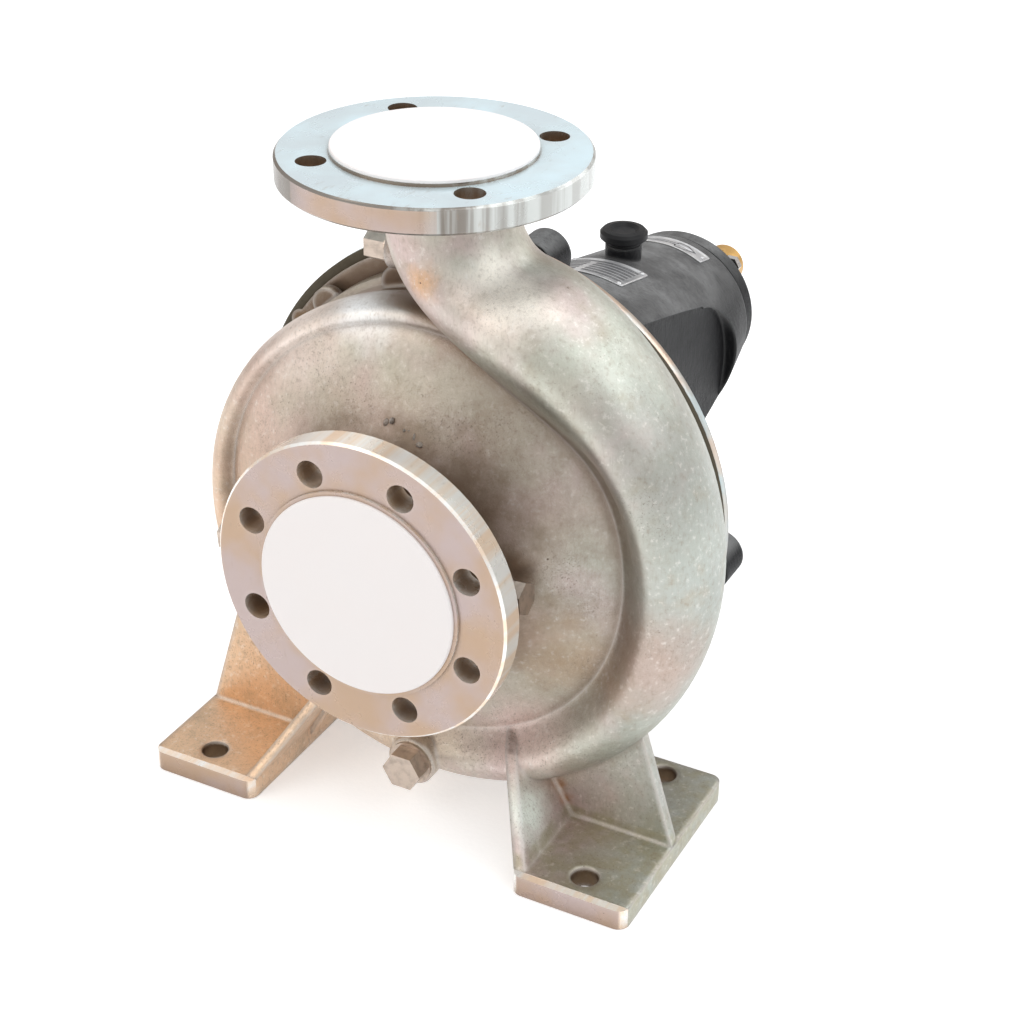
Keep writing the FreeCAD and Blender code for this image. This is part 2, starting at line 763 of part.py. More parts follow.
def impeller():
    """A closed impeller: two shrouds with backward curved vanes between them."""
    eye, bore = impeller_eye_radius, impeller_eye_bore
    rim = impeller_radius
    front_in = volute_centre_y - impeller_outlet_width / 2
    back_in = volute_centre_y + impeller_outlet_width / 2
    nose = impeller_hub_front_y
    eye_front = wear_seat_y + axial_gap
    eye_back = wear_seat_y + wear_ring_length + 2
    front = turned([(bore, eye_front), (eye, eye_front), (eye, eye_back), (58, eye_back + 5),
                    (90, -26.5), (rim, front_in - impeller_shroud), (rim, front_in), (90, -21.5),
                    (60, -31.5), (48, -38), (bore, -46)])
    hub_bore = shaft_nose_radius + seat_gap
    hub_end = hub_end_y()
    back = turned([(hub_bore, nose), (impeller_hub_radius, nose), (27, -26), (37, -9), (60, back_in - 1),
                   (rim, back_in), (rim, back_in + impeller_shroud), (60, back_in + impeller_shroud + 2),
                   (34, back_in + impeller_shroud + 3), (28, hub_end), (hub_bore, hub_end)])
    passage = turned([(30, -44), (bore + 1, -47), (49, -39), (60, -33), (90, -23), (rim - 0.2, front_in - 1.5),
                      (rim - 0.2, back_in + 1.5), (60, back_in + 1), (36, -7), (26, -24)])
    shape = front.fuse(back)
    for step in range(impeller_vane_count):
        vane = vane_prism(360.0 * step / impeller_vane_count).common(passage)
        shape = shape.fuse(vane)
    for x, up in around(33.0, impeller_vane_count, 20.0):
        shape = shape.cut(rod(balance_hole_dia / 2, -14, hub_end - 1, x, up))
    keyway = key_box(impeller_key_width, impeller_key_height, nose, hub_end, shaft_nose_radius, seat_gap)
    return shape.cut(keyway)


def hub_end_y():
    return cover_front_y - axial_gap - 1


def vane_prism(start_angle):
    """One vane as a prism along the shaft, thick along a curve that sweeps back towards the rim."""
    steps = 7
    sides = ([], [])
    for step in range(steps):
        part_way = step / (steps - 1)
        radius = impeller_vane_inlet_radius + (impeller_radius - impeller_vane_inlet_radius) * part_way
        angle = start_angle - impeller_vane_sweep * part_way ** 0.8
        half_turn = math.degrees(impeller_vane_thick / 2 / math.sin(math.radians(28)) / radius)
        for side, sign in ((0, 1), (1, -1)):
            sides[side].append(polar(radius, angle + sign * half_turn * (0.55 + 0.45 * part_way),
                                     impeller_hub_front_y - 6))
    curves = []
    for points in sides:
        curve = Part.BSplineCurve()
        curve.interpolate(points)
        curves.append(curve.toShape())
    ends = [Part.makeLine(sides[0][0], sides[1][0]), Part.makeLine(sides[0][-1], sides[1][-1])]
    wire = Part.Wire([curves[0], ends[1], curves[1], ends[0]])
    return Part.Face(wire).extrude(axis_y * 50)


def key_box(width, height, start, end, shaft_radius, gap):
    """The room of a key under the shaft, with play on its sides and outer face."""
    depth = 0.6 * height
    return box(-width / 2 - gap, width / 2 + gap, start, end,
               shaft_height - shaft_radius - (height - depth) - gap, shaft_height - shaft_radius + depth)


def impeller_nut():
    seat = impeller_hub_front_y
    front = seat - impeller_nut_height
    corner = impeller_nut_across / math.sqrt(3)
    nut = hexagon(impeller_nut_across, impeller_nut_height, V(0, front, shaft_height), axis_y)
    cap = turned([(0, front - 9), (6, front - 8.5), (11, front - 6), (corner - 5, front), (0, front)])
    hole = rod(shaft_thread_radius + seat_gap, front + 1, seat + 1)
    return nut.fuse(cap).cut(hole)


def shaft():
    """The stepped shaft: nut thread, impeller seat, sleeve seat, bearing seats and coupling end."""
    bearing = bearing_bore / 2
    front_end = front_bearing_y + bearing_width
    rear_end = rear_bearing_y + bearing_width
    nut_end = rear_end + lock_nut_thick
    coupling = shaft_end_reach - shaft_end_length
    nose = impeller_hub_front_y
    profile = [(0, nose - impeller_nut_height + 2), (shaft_thread_radius - 1, nose - impeller_nut_height + 2),
               (shaft_thread_radius, nose - impeller_nut_height + 3), (shaft_thread_radius, nose),
               (shaft_nose_radius, nose), (shaft_nose_radius, hub_end_y()), (sleeve_seat_radius, hub_end_y()),
               (sleeve_seat_radius, sleeve_end_y), (sleeve_radius, sleeve_end_y),
               (sleeve_radius, front_bearing_y - 6), (bearing, front_bearing_y - 6), (bearing, front_end),
               (shaft_mid_radius, front_end), (shaft_mid_radius, rear_bearing_y), (bearing, rear_bearing_y),
               (bearing, rear_end), (bearing - 1, rear_end), (bearing - 1, nut_end),
               (shaft_back_radius, nut_end), (shaft_back_radius, coupling),
               (shaft_end_radius - 0.5, coupling), (shaft_end_radius - 0.5, coupling + shaft_relief),
               (shaft_end_radius, coupling + shaft_relief),
               (shaft_end_radius, shaft_end_reach - 2), (shaft_end_radius - 2, shaft_end_reach),
               (0, shaft_end_reach)]
    core = turned(profile)
    start = impeller_key_start()
    impeller_way = key_box(impeller_key_width, impeller_key_height, start, start + impeller_key_length,
                           shaft_nose_radius, seat_gap)
    coupling_way = key_box(coupling_key_width, coupling_key_height, coupling + shaft_relief / 2,
                           shaft_end_reach + 1, shaft_end_radius, seat_gap)
    return core.cut(impeller_way).cut(coupling_way)


def impeller_key_start():
    return impeller_hub_front_y + 4


def shaft_key(width, height, start, length, shaft_radius):
    slot = key_box(width, height, start + seat_gap, start + length - seat_gap, shaft_radius, 0.0)
    low = slot.BoundBox.ZMin
    return box(-width / 2, width / 2, start + seat_gap, start + length - seat_gap, low, low + height)


def shaft_sleeve():
    return ring(sleeve_radius, sleeve_seat_radius + seat_gap, hub_end_y(), sleeve_end_y)


def deflector():
    """The ring that throws leakage off the shaft in front of the bearings."""
    start = sleeve_end_y + 16
    inner = sleeve_radius + seat_gap
    return turned([(inner, start), (inner + 5, start), (inner + 14, start + 3), (inner + 14, start + 5),
                   (inner + 6, start + 6), (inner + 5, start + 12), (inner, start + 12)])


def bearing_rings(start, groove_radius, rolling_radius):
    """Inner and outer ring of a bearing, with a ball groove or a roller track."""
    end = start + bearing_width
    middle = (start + end) / 2
    bore, outer = bearing_bore / 2, bearing_outer / 2
    land = rolling_radius * 0.62 if groove_radius else rolling_radius + running_gap
    inner_ring = ring(bearing_pitch_radius - land, bore + seat_gap, start, end)
    outer_ring = ring(outer - seat_gap, bearing_pitch_radius + land, start, end)
    if groove_radius:
        track = Part.makeTorus(bearing_pitch_radius, groove_radius, V(0, middle, shaft_height), axis_y)
        inner_ring = inner_ring.cut(track)
        outer_ring = outer_ring.cut(track)
    return inner_ring, outer_ring


def ball_set():
    """Balls of the rear bearing in their cage."""
    middle = rear_bearing_y + bearing_width / 2
    cage = ring(bearing_pitch_radius + 2.0, bearing_pitch_radius - 2.0, middle - 8, middle + 8)
    for x, up in around(bearing_pitch_radius, bearing_ball_count, 0.0):
        cage = cage.fuse(Part.makeSphere(bearing_ball_dia / 2, V(x, middle, shaft_height + up)))
    return cage


def roller_set():
    """Rollers of the front bearing in their cage."""
    middle = front_bearing_y + bearing_width / 2
    half = bearing_roller_length / 2
    cage = ring(bearing_pitch_radius + 2.0, bearing_pitch_radius - 2.0, middle - half - 2, middle + half + 2)
    for x, up in around(bearing_pitch_radius, bearing_roller_count, 0.0):
        cage = cage.fuse(rod(bearing_roller_dia / 2, middle - half, middle + half, x, up))
    return cage


def bearing_lock_nut():
    start = rear_bearing_y + bearing_width
    nut = ring(lock_nut_radius, bearing_bore / 2 - 1 + seat_gap, start, start + lock_nut_thick)
    for x, up in around(lock_nut_radius, 4, 0.0):
        nut = nut.cut(rod(3.0, start + 4, start + lock_nut_thick + 1, x, up))
    return nut


# Bearing bracket

def barrel_radius(y):
    """The flared outside of the bracket."""
    return barrel_rear_radius + barrel_taper * (barrel_rear_y - y)


def bracket_front_y():
    return cover_back_y()


def flank_cut(side):
    """The flat flank on one side, which ends in an arch towards the rear bearing."""
    x = flank_half_width
    block = box(x, 220, flank_front_y, flank_arch_y + 13, shaft_height - 130, shaft_height + 130)
    arch = Part.makeCylinder(flank_arch_radius, 160, V(x, flank_arch_y, shaft_height - flank_arch_drop),
                             V(1, 0, 0))
    cut = block.fuse(arch)
    return cut if side > 0 else cut.mirror(V(0, 0, 0), V(1, 0, 0))


def bearing_bracket():
    front = bracket_front_y()
    seat = nut_seat_y()
    bore = bearing_outer / 2
    inside_front = barrel_radius(seat + 4) - barrel_wall
    inside_back = barrel_radius(lantern_end_y) - barrel_wall
    body = turned([(inside_front, front), (bracket_flange_radius, front), (bracket_flange_radius, seat),
                   (barrel_radius(seat) + 5, seat), (barrel_radius(seat + 8), seat + 8),
                   (barrel_rear_radius, barrel_rear_y), (bore, barrel_rear_y), (bore, rear_bearing_y - 11),
                   (sump_radius, rear_bearing_y - 16), (sump_radius, front_bearing_y + bearing_width + 16),
                   (bore, front_bearing_y + bearing_width + 11), (bore, lantern_end_y),
                   (inside_back, lantern_end_y), (inside_front, seat + 4)])
    for side in (1, -1):
        body = body.cut(flank_cut(side))
    for angle in bracket_lug_angles:
        reach = bracket_lug_reach - bracket_lug_radius
        ear = lug(angle, bracket_lug_radius, reach, front, front + bracket_lug_thick, inside_front + 3)
        hole = polar(reach, angle, front - 1)
        body = body.fuse(ear).cut(Part.makeCylinder(bracket_lug_hole / 2, bracket_lug_thick + 2, hole, axis_y))
    top = shaft_height + filler_neck_top
    neck = Part.makeCylinder(filler_neck_radius, filler_neck_top - sump_radius - 6,
                             V(0, filler_y, shaft_height + sump_radius + 6))
    drain_low = oil_drain_seat()
    boss = Part.makeCylinder(12, 24, V(0, oil_drain_y, shaft_height + drain_low))
    pad = box(-pad_half_width, pad_half_width, support_y - pad_depth / 2, support_y + pad_depth / 2,
              shaft_height - pad_drop, shaft_height - bore - 8)
    body = body.fuse(neck).fuse(boss).fuse(pad)
    body = body.cut(Part.makeCylinder(filler_bore_radius, 60, V(0, filler_y, top + 1), V(0, 0, -1)))
    body = body.cut(Part.makeCylinder(5 + seat_gap, 50, V(0, oil_drain_y, shaft_height + drain_low - 1)))
    body = body.cut(sight_glass_bore())
    for x, up in around(cover_stud_radius, cover_stud_count, cover_stud_turn):
        body = body.cut(rod(cover_stud_dia / 2 + seat_gap, front - 1, seat + 1, x, up))
    for x, up in around(bearing_screw_radius, bearing_screw_count, 45.0):
        body = body.cut(rod(bearing_screw_dia / 2 + seat_gap, lantern_end_y - 1, lantern_end_y + 13, x, up))
        body = body.cut(rod(bearing_screw_dia / 2 + seat_gap, barrel_rear_y - 13, barrel_rear_y + 1, x, up))
    for x, y in support_screw_places():
        body = body.cut(Part.makeCylinder(support_screw_dia / 2 + seat_gap, 15,
                                          V(x, y, shaft_height - pad_drop - 1)))
    return body


def oil_drain_seat():
    return -barrel_radius(oil_drain_y) - 6


def front_bearing_cover():
    """The cover on the seal side, with its spigot against the front bearing."""
    face = lantern_end_y
    start = face - front_cover_thick
    spigot = bearing_outer / 2 - seat_gap
    hole = sleeve_radius + 1
    seal = oil_seal_radius + seat_gap
    cover = turned([(seal, start), (front_cover_radius - 1, start), (front_cover_radius, start + 1),
                    (front_cover_radius, face), (spigot, face), (spigot, front_bearing_y),
                    (spigot - 7, front_bearing_y), (spigot - 7, face + 4), (hole + 3, face + 4),
                    (hole + 3, start + oil_seal_width), (seal, start + oil_seal_width)])
    for x, up in around(bearing_screw_radius, bearing_screw_count, 45.0):
        cover = cover.cut(rod(bearing_screw_dia / 2 + seat_gap, start - 1, face + 1, x, up))
    return cover


def rear_bearing_cover():
    """The cover at the shaft end, with a groove between its rim and the bracket."""
    face = barrel_rear_y
    end = face + rear_cover_thick
    spigot = bearing_outer / 2 - seat_gap
    rim = rear_cover_radius
    room = lock_nut_radius + 3
    bearing_end = rear_bearing_y + bearing_width
    hole = shaft_back_radius + 3
    seal = oil_seal_radius + seat_gap
    groove = rim - rear_cover_groove
    cover = turned([(room, bearing_end), (spigot, bearing_end), (spigot, face), (groove, face),
                    (groove, face + 6), (rim, face + 7), (rim, end - 3), (rim - 3, end), (seal, end),
                    (seal, end - oil_seal_width), (hole, end - oil_seal_width), (hole, face + 9),
                    (room, face + 9)])
    for x, up in around(bearing_screw_radius, bearing_screw_count, 45.0):
        cover = cover.cut(rod(bearing_screw_dia / 2 + seat_gap, face - 1, end + 1, x, up))
    return cover


def bearing_cover_screws():
    screws = []
    front = lantern_end_y - front_cover_thick
    rear = barrel_rear_y + rear_cover_thick
    for x, up in around(bearing_screw_radius, bearing_screw_count, 45.0):
        screws.append(screw(bearing_screw_dia, front_cover_thick + 12, 13, 5.5,
                            V(x, front, shaft_height + up), axis_y))
        screws.append(screw(bearing_screw_dia, rear_cover_thick + 12, 13, 5.5,
                            V(x, rear, shaft_height + up), axis_y * -1))
    return Part.makeCompound(screws)


def oil_seals():
    front = lantern_end_y - front_cover_thick
    rear = barrel_rear_y + rear_cover_thick
    return Part.makeCompound([
        ring(oil_seal_radius, sleeve_radius + running_gap, front, front + oil_seal_width),
        ring(oil_seal_radius, shaft_back_radius + running_gap, rear - oil_seal_width, rear)])


def filler_cap():
    """The mushroom cap that closes the oil filler and lets the housing breathe."""
    base = shaft_height + filler_neck_top
    stem = filler_bore_radius - running_gap
    rim = filler_cap_radius
    top = base + 4 + filler_cap_thick
    outline = [(0, base - 14), (stem - 1, base - 14), (stem, base - 13), (stem, base), (rim - 5, base),
               (rim - 5, base + 4), (rim - 1, base + 4), (rim, base + 5), (rim, top - 3), (rim - 2, top - 1),
               (rim - 6, top - 0.5), (rim - 9, top - 2.5), (0, top - 3)]
    points = [V(radius, 0, z) for radius, z in outline]
    cap = Part.Face(Part.makePolygon(points + [points[0]])).revolve(V(0, 0, 0), V(0, 0, 1), 360)
    cap.translate(V(0, filler_y, 0))
    return cap


def sight_glass_place():
    return V(-flank_half_width, sight_glass_y, shaft_height - sight_glass_drop)


def sight_glass_bore():
    return Part.makeCylinder(11 + seat_gap, 30, sight_glass_place() + V(-1, 0, 0), V(1, 0, 0))


def sight_glass_bezel():
    place, out = sight_glass_place(), V(-1, 0, 0)
    rim = hexagon(2 * sight_glass_radius * 0.9, 6, place, out)
    stem = Part.makeCylinder(11, 9, place, out * -1)
    hole = Part.makeCylinder(8, 40, place + V(20, 0, 0), out)
    pocket = Part.makeCylinder(10.5, 4, place + out * 6, out * -1)
    return rim.fuse(stem).cut(hole).cut(pocket)


def sight_glass_lens():
    place, out = sight_glass_place(), V(-1, 0, 0)
    return Part.makeCylinder(10.5 - seat_gap, 3.5, place + out * 5.5, out * -1)


def oil_drain_plug():
    seat = V(0, oil_drain_y, shaft_height + oil_drain_seat())
    return screw(10, 14, oil_drain_across, 8, seat, V(0, 0, 1))


def support_screw_places():
    return [(x, support_y + y) for x in (-18, 18) for y in (-13, 13)]


def support_foot():
    """The bent foot under the bracket: top plate, upright web and base plate."""
    top = shaft_height - pad_drop
    half = support_half_width
    depth = support_depth / 2
    thick = support_thick
    plate = box(-pad_half_width, pad_half_width, support_y - pad_depth / 2, support_y + pad_depth / 2,
                top - thick, top)
    base = box(-half, half, support_y - depth, support_y + depth, 0, thick)
    base = base.makeFillet(8, [edge for edge in base.Edges if abs(edge.tangentAt(0).z) > 0.9])
    web_points = [V(-half + 4, support_y - thick / 2, thick), V(half - 4, support_y - thick / 2, thick),
                  V(pad_half_width, support_y - thick / 2, top - thick),
                  V(-pad_half_width, support_y - thick / 2, top - thick)]
    web = Part.Face(Part.makePolygon(web_points + [web_points[0]])).extrude(V(0, thick, 0))
    foot_shape = plate.fuse(base).fuse(web)
    for x, y in support_screw_places():
        foot_shape = foot_shape.cut(Part.makeCylinder(support_screw_dia / 2 + seat_gap, thick + 2,
                                                      V(x, y, top - thick - 1)))
    for x in (-support_hole_spacing / 2, support_hole_spacing / 2):
        foot_shape = foot_shape.cut(Part.makeCylinder(support_hole_dia / 2, thick + 2,
                                                      V(x, support_y - depth + 11, -1)))
    return foot_shape


def support_foot_screws():
    seat = shaft_height - pad_drop - support_thick
    screws = [screw(support_screw_dia, support_thick + 13, 13, 6, V(x, y, seat), V(0, 0, 1))
              for x, y in support_screw_places()]
    return Part.makeCompound(screws)


def suction_port_cover():
    face = -suction_reach
    rim = suction_cover_radius
    return turned([(0, face - port_cover_thick), (rim - 0.8, face - port_cover_thick),
                   (rim, face - port_cover_thick + 0.8), (rim, face), (0, face)])


def discharge_port_cover():
    face = shaft_height + discharge_reach
    disc = Part.makeCylinder(discharge_cover_radius, port_cover_thick, V(0, 0, face))
    return disc.makeChamfer(0.6, [edge for edge in disc.Edges
                                  if edge.BoundBox.ZMin > face + port_cover_thick - 0.01])


def main():
    places = tapping_places()
    ball = bearing_ball_dia / 2
    front_inner, front_outer = bearing_rings(front_bearing_y, 0.0, bearing_roller_dia / 2)
    rear_inner, rear_outer = bearing_rings(rear_bearing_y, ball + running_gap, ball)
    pieces = {
        "volute_casing": volute_casing(),
        "casing_wear_ring": casing_wear_ring(),
        "casing_gasket": casing_gasket(),
        "casing_cover": casing_cover(),
        "cover_studs": cover_studs(),
        "cover_nuts": cover_nuts(),
        "seal_seat": seal_seat(),
        "seal_cover": seal_cover(),
        "seal_cover_screws": seal_cover_screws(),
        "discharge_gauge_plug": plug(*places["gauge"][:3], plug_thread_length),
        "drain_plug": plug(*places["drain"][:3], plug_thread_length),
        "suction_gauge_plugs": Part.makeCompound([plug(*places[name][:3], plug_thread_length - 2)
                                                  for name in ("suction_1", "suction_2")]),
        "plug_washers": Part.makeCompound([plug_washer(*place[:3]) for place in places.values()]),
        "bearing_bracket": bearing_bracket(),
        "front_bearing_cover": front_bearing_cover(),
        "rear_bearing_cover": rear_bearing_cover(),
        "bearing_cover_screws": bearing_cover_screws(),
        "front_bearing_outer_ring": front_outer,
        "rear_bearing_outer_ring": rear_outer,
        "oil_seals": oil_seals(),
        "oil_drain_plug": oil_drain_plug(),
        "sight_glass_bezel": sight_glass_bezel(),
        "sight_glass_lens": sight_glass_lens(),
        "support_foot": support_foot(),
        "support_foot_screws": support_foot_screws(),
        "shaft": shaft(),
        "impeller": impeller(),
        "impeller_nut": impeller_nut(),
        "impeller_key": shaft_key(impeller_key_width, impeller_key_height, impeller_key_start(),
                                  impeller_key_length, shaft_nose_radius),
        "shaft_sleeve": shaft_sleeve(),
        "seal_ring": seal_ring(),
        "seal_bellows": seal_bellows(),
        "deflector": deflector(),
        "front_bearing_inner_ring": front_inner,
        "rear_bearing_inner_ring": rear_inner,
        "bearing_lock_nut": bearing_lock_nut(),
        "front_roller_set": roller_set(),
        "rear_ball_set": ball_set(),
        "filler_cap": filler_cap(),
        "suction_port_cover": suction_port_cover(),
        "discharge_port_cover": discharge_port_cover(),
    }
    for name, shape in pieces.items():
        if not shape.isValid():
            print("not valid:", name)
        save(shape, name)


if __name__ == "__main__":
    main()
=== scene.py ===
"""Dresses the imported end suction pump: cast, machined and painted finishes, two plates with their rivets,
the cover's rim band, casting lumps, a pale studio floor, soft lamps and the camera.

Frame: +Z up, z = 0 on the ground, x = 0 on the shaft axis, y = 0 midway between the foot bolts. Metres.
"""
import json
import math

import bpy
import numpy as np
from bpy.props import FloatProperty, FloatVectorProperty, IntProperty, PointerProperty
from mathutils import Matrix, Vector


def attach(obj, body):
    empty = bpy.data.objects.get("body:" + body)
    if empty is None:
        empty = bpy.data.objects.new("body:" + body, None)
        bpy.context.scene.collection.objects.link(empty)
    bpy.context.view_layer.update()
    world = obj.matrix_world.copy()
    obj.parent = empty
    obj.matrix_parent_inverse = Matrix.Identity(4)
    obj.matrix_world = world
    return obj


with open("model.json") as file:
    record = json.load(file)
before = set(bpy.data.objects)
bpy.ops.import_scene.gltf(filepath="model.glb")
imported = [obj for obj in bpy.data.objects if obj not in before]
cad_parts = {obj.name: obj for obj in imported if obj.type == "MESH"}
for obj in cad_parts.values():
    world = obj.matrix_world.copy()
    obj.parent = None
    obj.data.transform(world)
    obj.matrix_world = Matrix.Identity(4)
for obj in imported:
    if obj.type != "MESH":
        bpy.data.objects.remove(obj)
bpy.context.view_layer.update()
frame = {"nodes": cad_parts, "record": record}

bl_info = {
    "name": "End Suction Pump Dressing",
    "version": (1, 0, 0),
    "blender": (4, 5, 0),
    "location": "View3D > Sidebar > Pump",
    "description": "Finishes, plates and casting marks for an end suction pump on its feet",
    "category": "Object",
}

# Where the casting's features are
AXIS_HEIGHT = 0.200
SUCTION_FACE_Y = -0.0945
DISCHARGE_FACE_Z = 0.450
DISCHARGE_LINE_Y = 0.0055
TURNED_DEPTH = 0.0200
FOOT_HOLES = [(x, y) for x in (-0.140, 0.140) for y in (-0.060, 0.060)]
FOOT_HOLE_RADIUS = 0.0090
WAX_START_Y = 0.3945
OIL_LEVEL = 0.1835

# Rust runs in the right foot's corner; then local patches of colour on the casting, each with its centre,
# reach, colour and amount, the near-white ones on the shoulder top, the neck's front and the right foot's
# gusset being painted highlights; then the centre and reach of duller metal
RUST_SPOTS = [(0.0965, -0.0075, 0.0365), (0.1005, -0.0080, 0.0265)]
TINTS_AND_PAINTED_HIGHLIGHTS = (((-0.088, -0.010, 0.325), 0.050, (0.95, 0.85, 0.78), 0.8),
                 ((-0.036, -0.004, 0.350), 0.042, (0.98, 1.0, 1.0), 0.95),
                 ((0.066, -0.030, 0.384), 0.040, (1.0, 0.92, 0.82), 0.95),
                 ((0.016, -0.036, 0.384), 0.016, (0.66, 0.40, 0.22), 0.8),
                 ((0.165, -0.030, 0.165), 0.055, (0.50, 0.37, 0.32), 0.75),
                 ((0.110, -0.045, 0.150), 0.060, (0.44, 0.305, 0.19), 0.8),
                 ((0.080, -0.020, 0.078), 0.045, (0.78, 0.61, 0.56), 0.8),
                 ((0.097, -0.045, 0.040), 0.032, (0.92, 1.0, 0.92), 0.9))
DULL_PLACES = (((0.070, -0.030, 0.390), 0.055), ((0.097, -0.045, 0.040), 0.045))

TOOL_RING_PITCH = 0.001208
OUTLINE_POINTS = 96


# Sizes and colours that a user would change

def colour_property(name, description, default):
    return FloatVectorProperty(
        name=name, description=description, default=default, subtype="COLOR", min=0, max=1)


def length_property(name, description, default, least, most):
    return FloatProperty(
        name=name, description=description, default=default, min=least, max=most, unit="LENGTH")


class PumpFinishes(bpy.types.PropertyGroup):
    cast_colour: colour_property(
        "Cast stainless", "Main colour of the blasted stainless casting", (0.60, 0.515, 0.44))
    cast_cool_colour: colour_property(
        "Cast cool tint", "Cooler, greenish patches of the casting", (0.56, 0.575, 0.50))
    cast_warm_colour: colour_property(
        "Cast warm tint", "Pinkish patches of the casting", (0.60, 0.48, 0.465))
    stain_colour: colour_property(
        "Stain", "Brown stain that stays in corners and holes", (0.17, 0.115, 0.065))
    turned_colour: colour_property(
        "Turned faces", "Colour of the machined flange faces", (0.50, 0.355, 0.25))
    # Painted reflection: the bluish colour of the discharge flange's top face
    discharge_reflection_colour: colour_property(
        "Turned cool tint", "Bluish tint on the discharge flange", (0.76, 0.93, 1.0))
    paint_colour: colour_property("Bracket paint", "Colour of the bracket's paint", (0.012, 0.012, 0.013))
    port_cover_colour: colour_property(
        "Port covers", "Colour of the discs that close the ports", (0.91, 0.865, 0.85))
    wax_colour: colour_property("Shaft wax", "Golden film that protects the shaft end", (0.72, 0.42, 0.12))
    cast_roughness: FloatProperty(
        name="Cast roughness", description="Roughness of the blasted casting", default=0.42, min=0, max=1,
        subtype="FACTOR")
    pit_spacing: length_property(
        "Pit spacing", "Mean distance between the casting's dark pits", 0.024, 0.002, 0.05)


class PumpPlates(bpy.types.PropertyGroup):
    barrel_rear_radius: length_property(
        "Barrel radius", "Bracket's outside radius at its rear end", 0.062, 0.02, 0.2)
    barrel_rear_y: length_property("Barrel end", "Where the barrel ends, along the shaft", 0.3675, 0.1, 0.6)
    barrel_taper: FloatProperty(
        name="Barrel taper", description="How much the radius grows for each length forwards", default=0.2,
        min=0, max=1)
    rating_width: length_property("Rating plate width", "Its size round the barrel", 0.060, 0.01, 0.2)
    rating_length: length_property("Rating plate length", "Its size along the shaft", 0.046, 0.01, 0.2)
    rating_y: length_property("Rating plate place", "Its middle, along the shaft", 0.2290, 0.1, 0.5)
    turning_width: length_property("Turning plate width", "Its size round the barrel", 0.062, 0.01, 0.2)
    turning_length: length_property("Turning plate length", "Its size along the shaft", 0.020, 0.005, 0.2)
    turning_y: length_property("Turning plate place", "Its middle, along the shaft", 0.3450, 0.1, 0.5)
    plate_thickness: length_property("Plate thickness", "Thickness of the plates", 0.0009, 0.0002, 0.005)
    rivet_radius: length_property("Rivet radius", "Radius of the rivet heads", 0.0018, 0.0005, 0.01)


class PumpCastMarks(bpy.types.PropertyGroup):
    wall_lump_count: IntProperty(
        name="Lumps", description="Small lumps on the wall above the suction flange", default=14,
        min=1, max=30)
    wall_lump_size: length_property("Lump size", "Radius of the largest lump", 0.0026, 0.001, 0.03)


class PumpCoverRim(bpy.types.PropertyGroup):
    radius: length_property("Rim radius", "Outside radius of the casing cover's rim", 0.1695, 0.1, 0.3)
    inner_radius: length_property(
        "Rim inner radius", "Where the band ends, inside the cover", 0.1600, 0.1, 0.3)
    front_y: length_property("Rim front", "Where the rim starts, along the shaft", 0.0616, 0.0, 0.2)
    width: length_property("Rim width", "Width of the rim along the shaft", 0.0118, 0.002, 0.05)
    # The groove is a dark band of painted shade at the rim's front
    groove_shade_width: length_property(
        "Groove width", "Width of the dirty groove at the rim's front", 0.0052, 0.0, 0.02)
    ripple: length_property("Rim ripple", "How far the cast rim is out of round", 0.0009, 0.0, 0.01)


class PumpStage(bpy.types.PropertyGroup):
    azimuth: FloatProperty(
        name="Azimuth", description="Camera's turn from the suction side towards +X",
        default=math.radians(27.5), subtype="ANGLE")
    elevation: FloatProperty(
        name="Elevation", description="Camera's height angle", default=math.radians(30.17), subtype="ANGLE")
    roll: FloatProperty(
        name="Roll", description="Camera's roll", default=math.radians(0.51), subtype="ANGLE")
    distance: length_property("Distance", "From the aim point to the camera", 1.311, 0.2, 10)
    aim: FloatVectorProperty(
        name="Aim", description="Point in the middle of the picture", default=(0.0395, 0.0297, 0.2056),
        subtype="TRANSLATION", unit="LENGTH")
    focal_length: FloatProperty(
        name="Focal length", description="Lens in millimetres on a 36 mm sensor", default=72.8,
        min=10, max=300)
    floor_size: length_property("Floor size", "Side of the square floor", 12.0, 2, 50)


# Node building

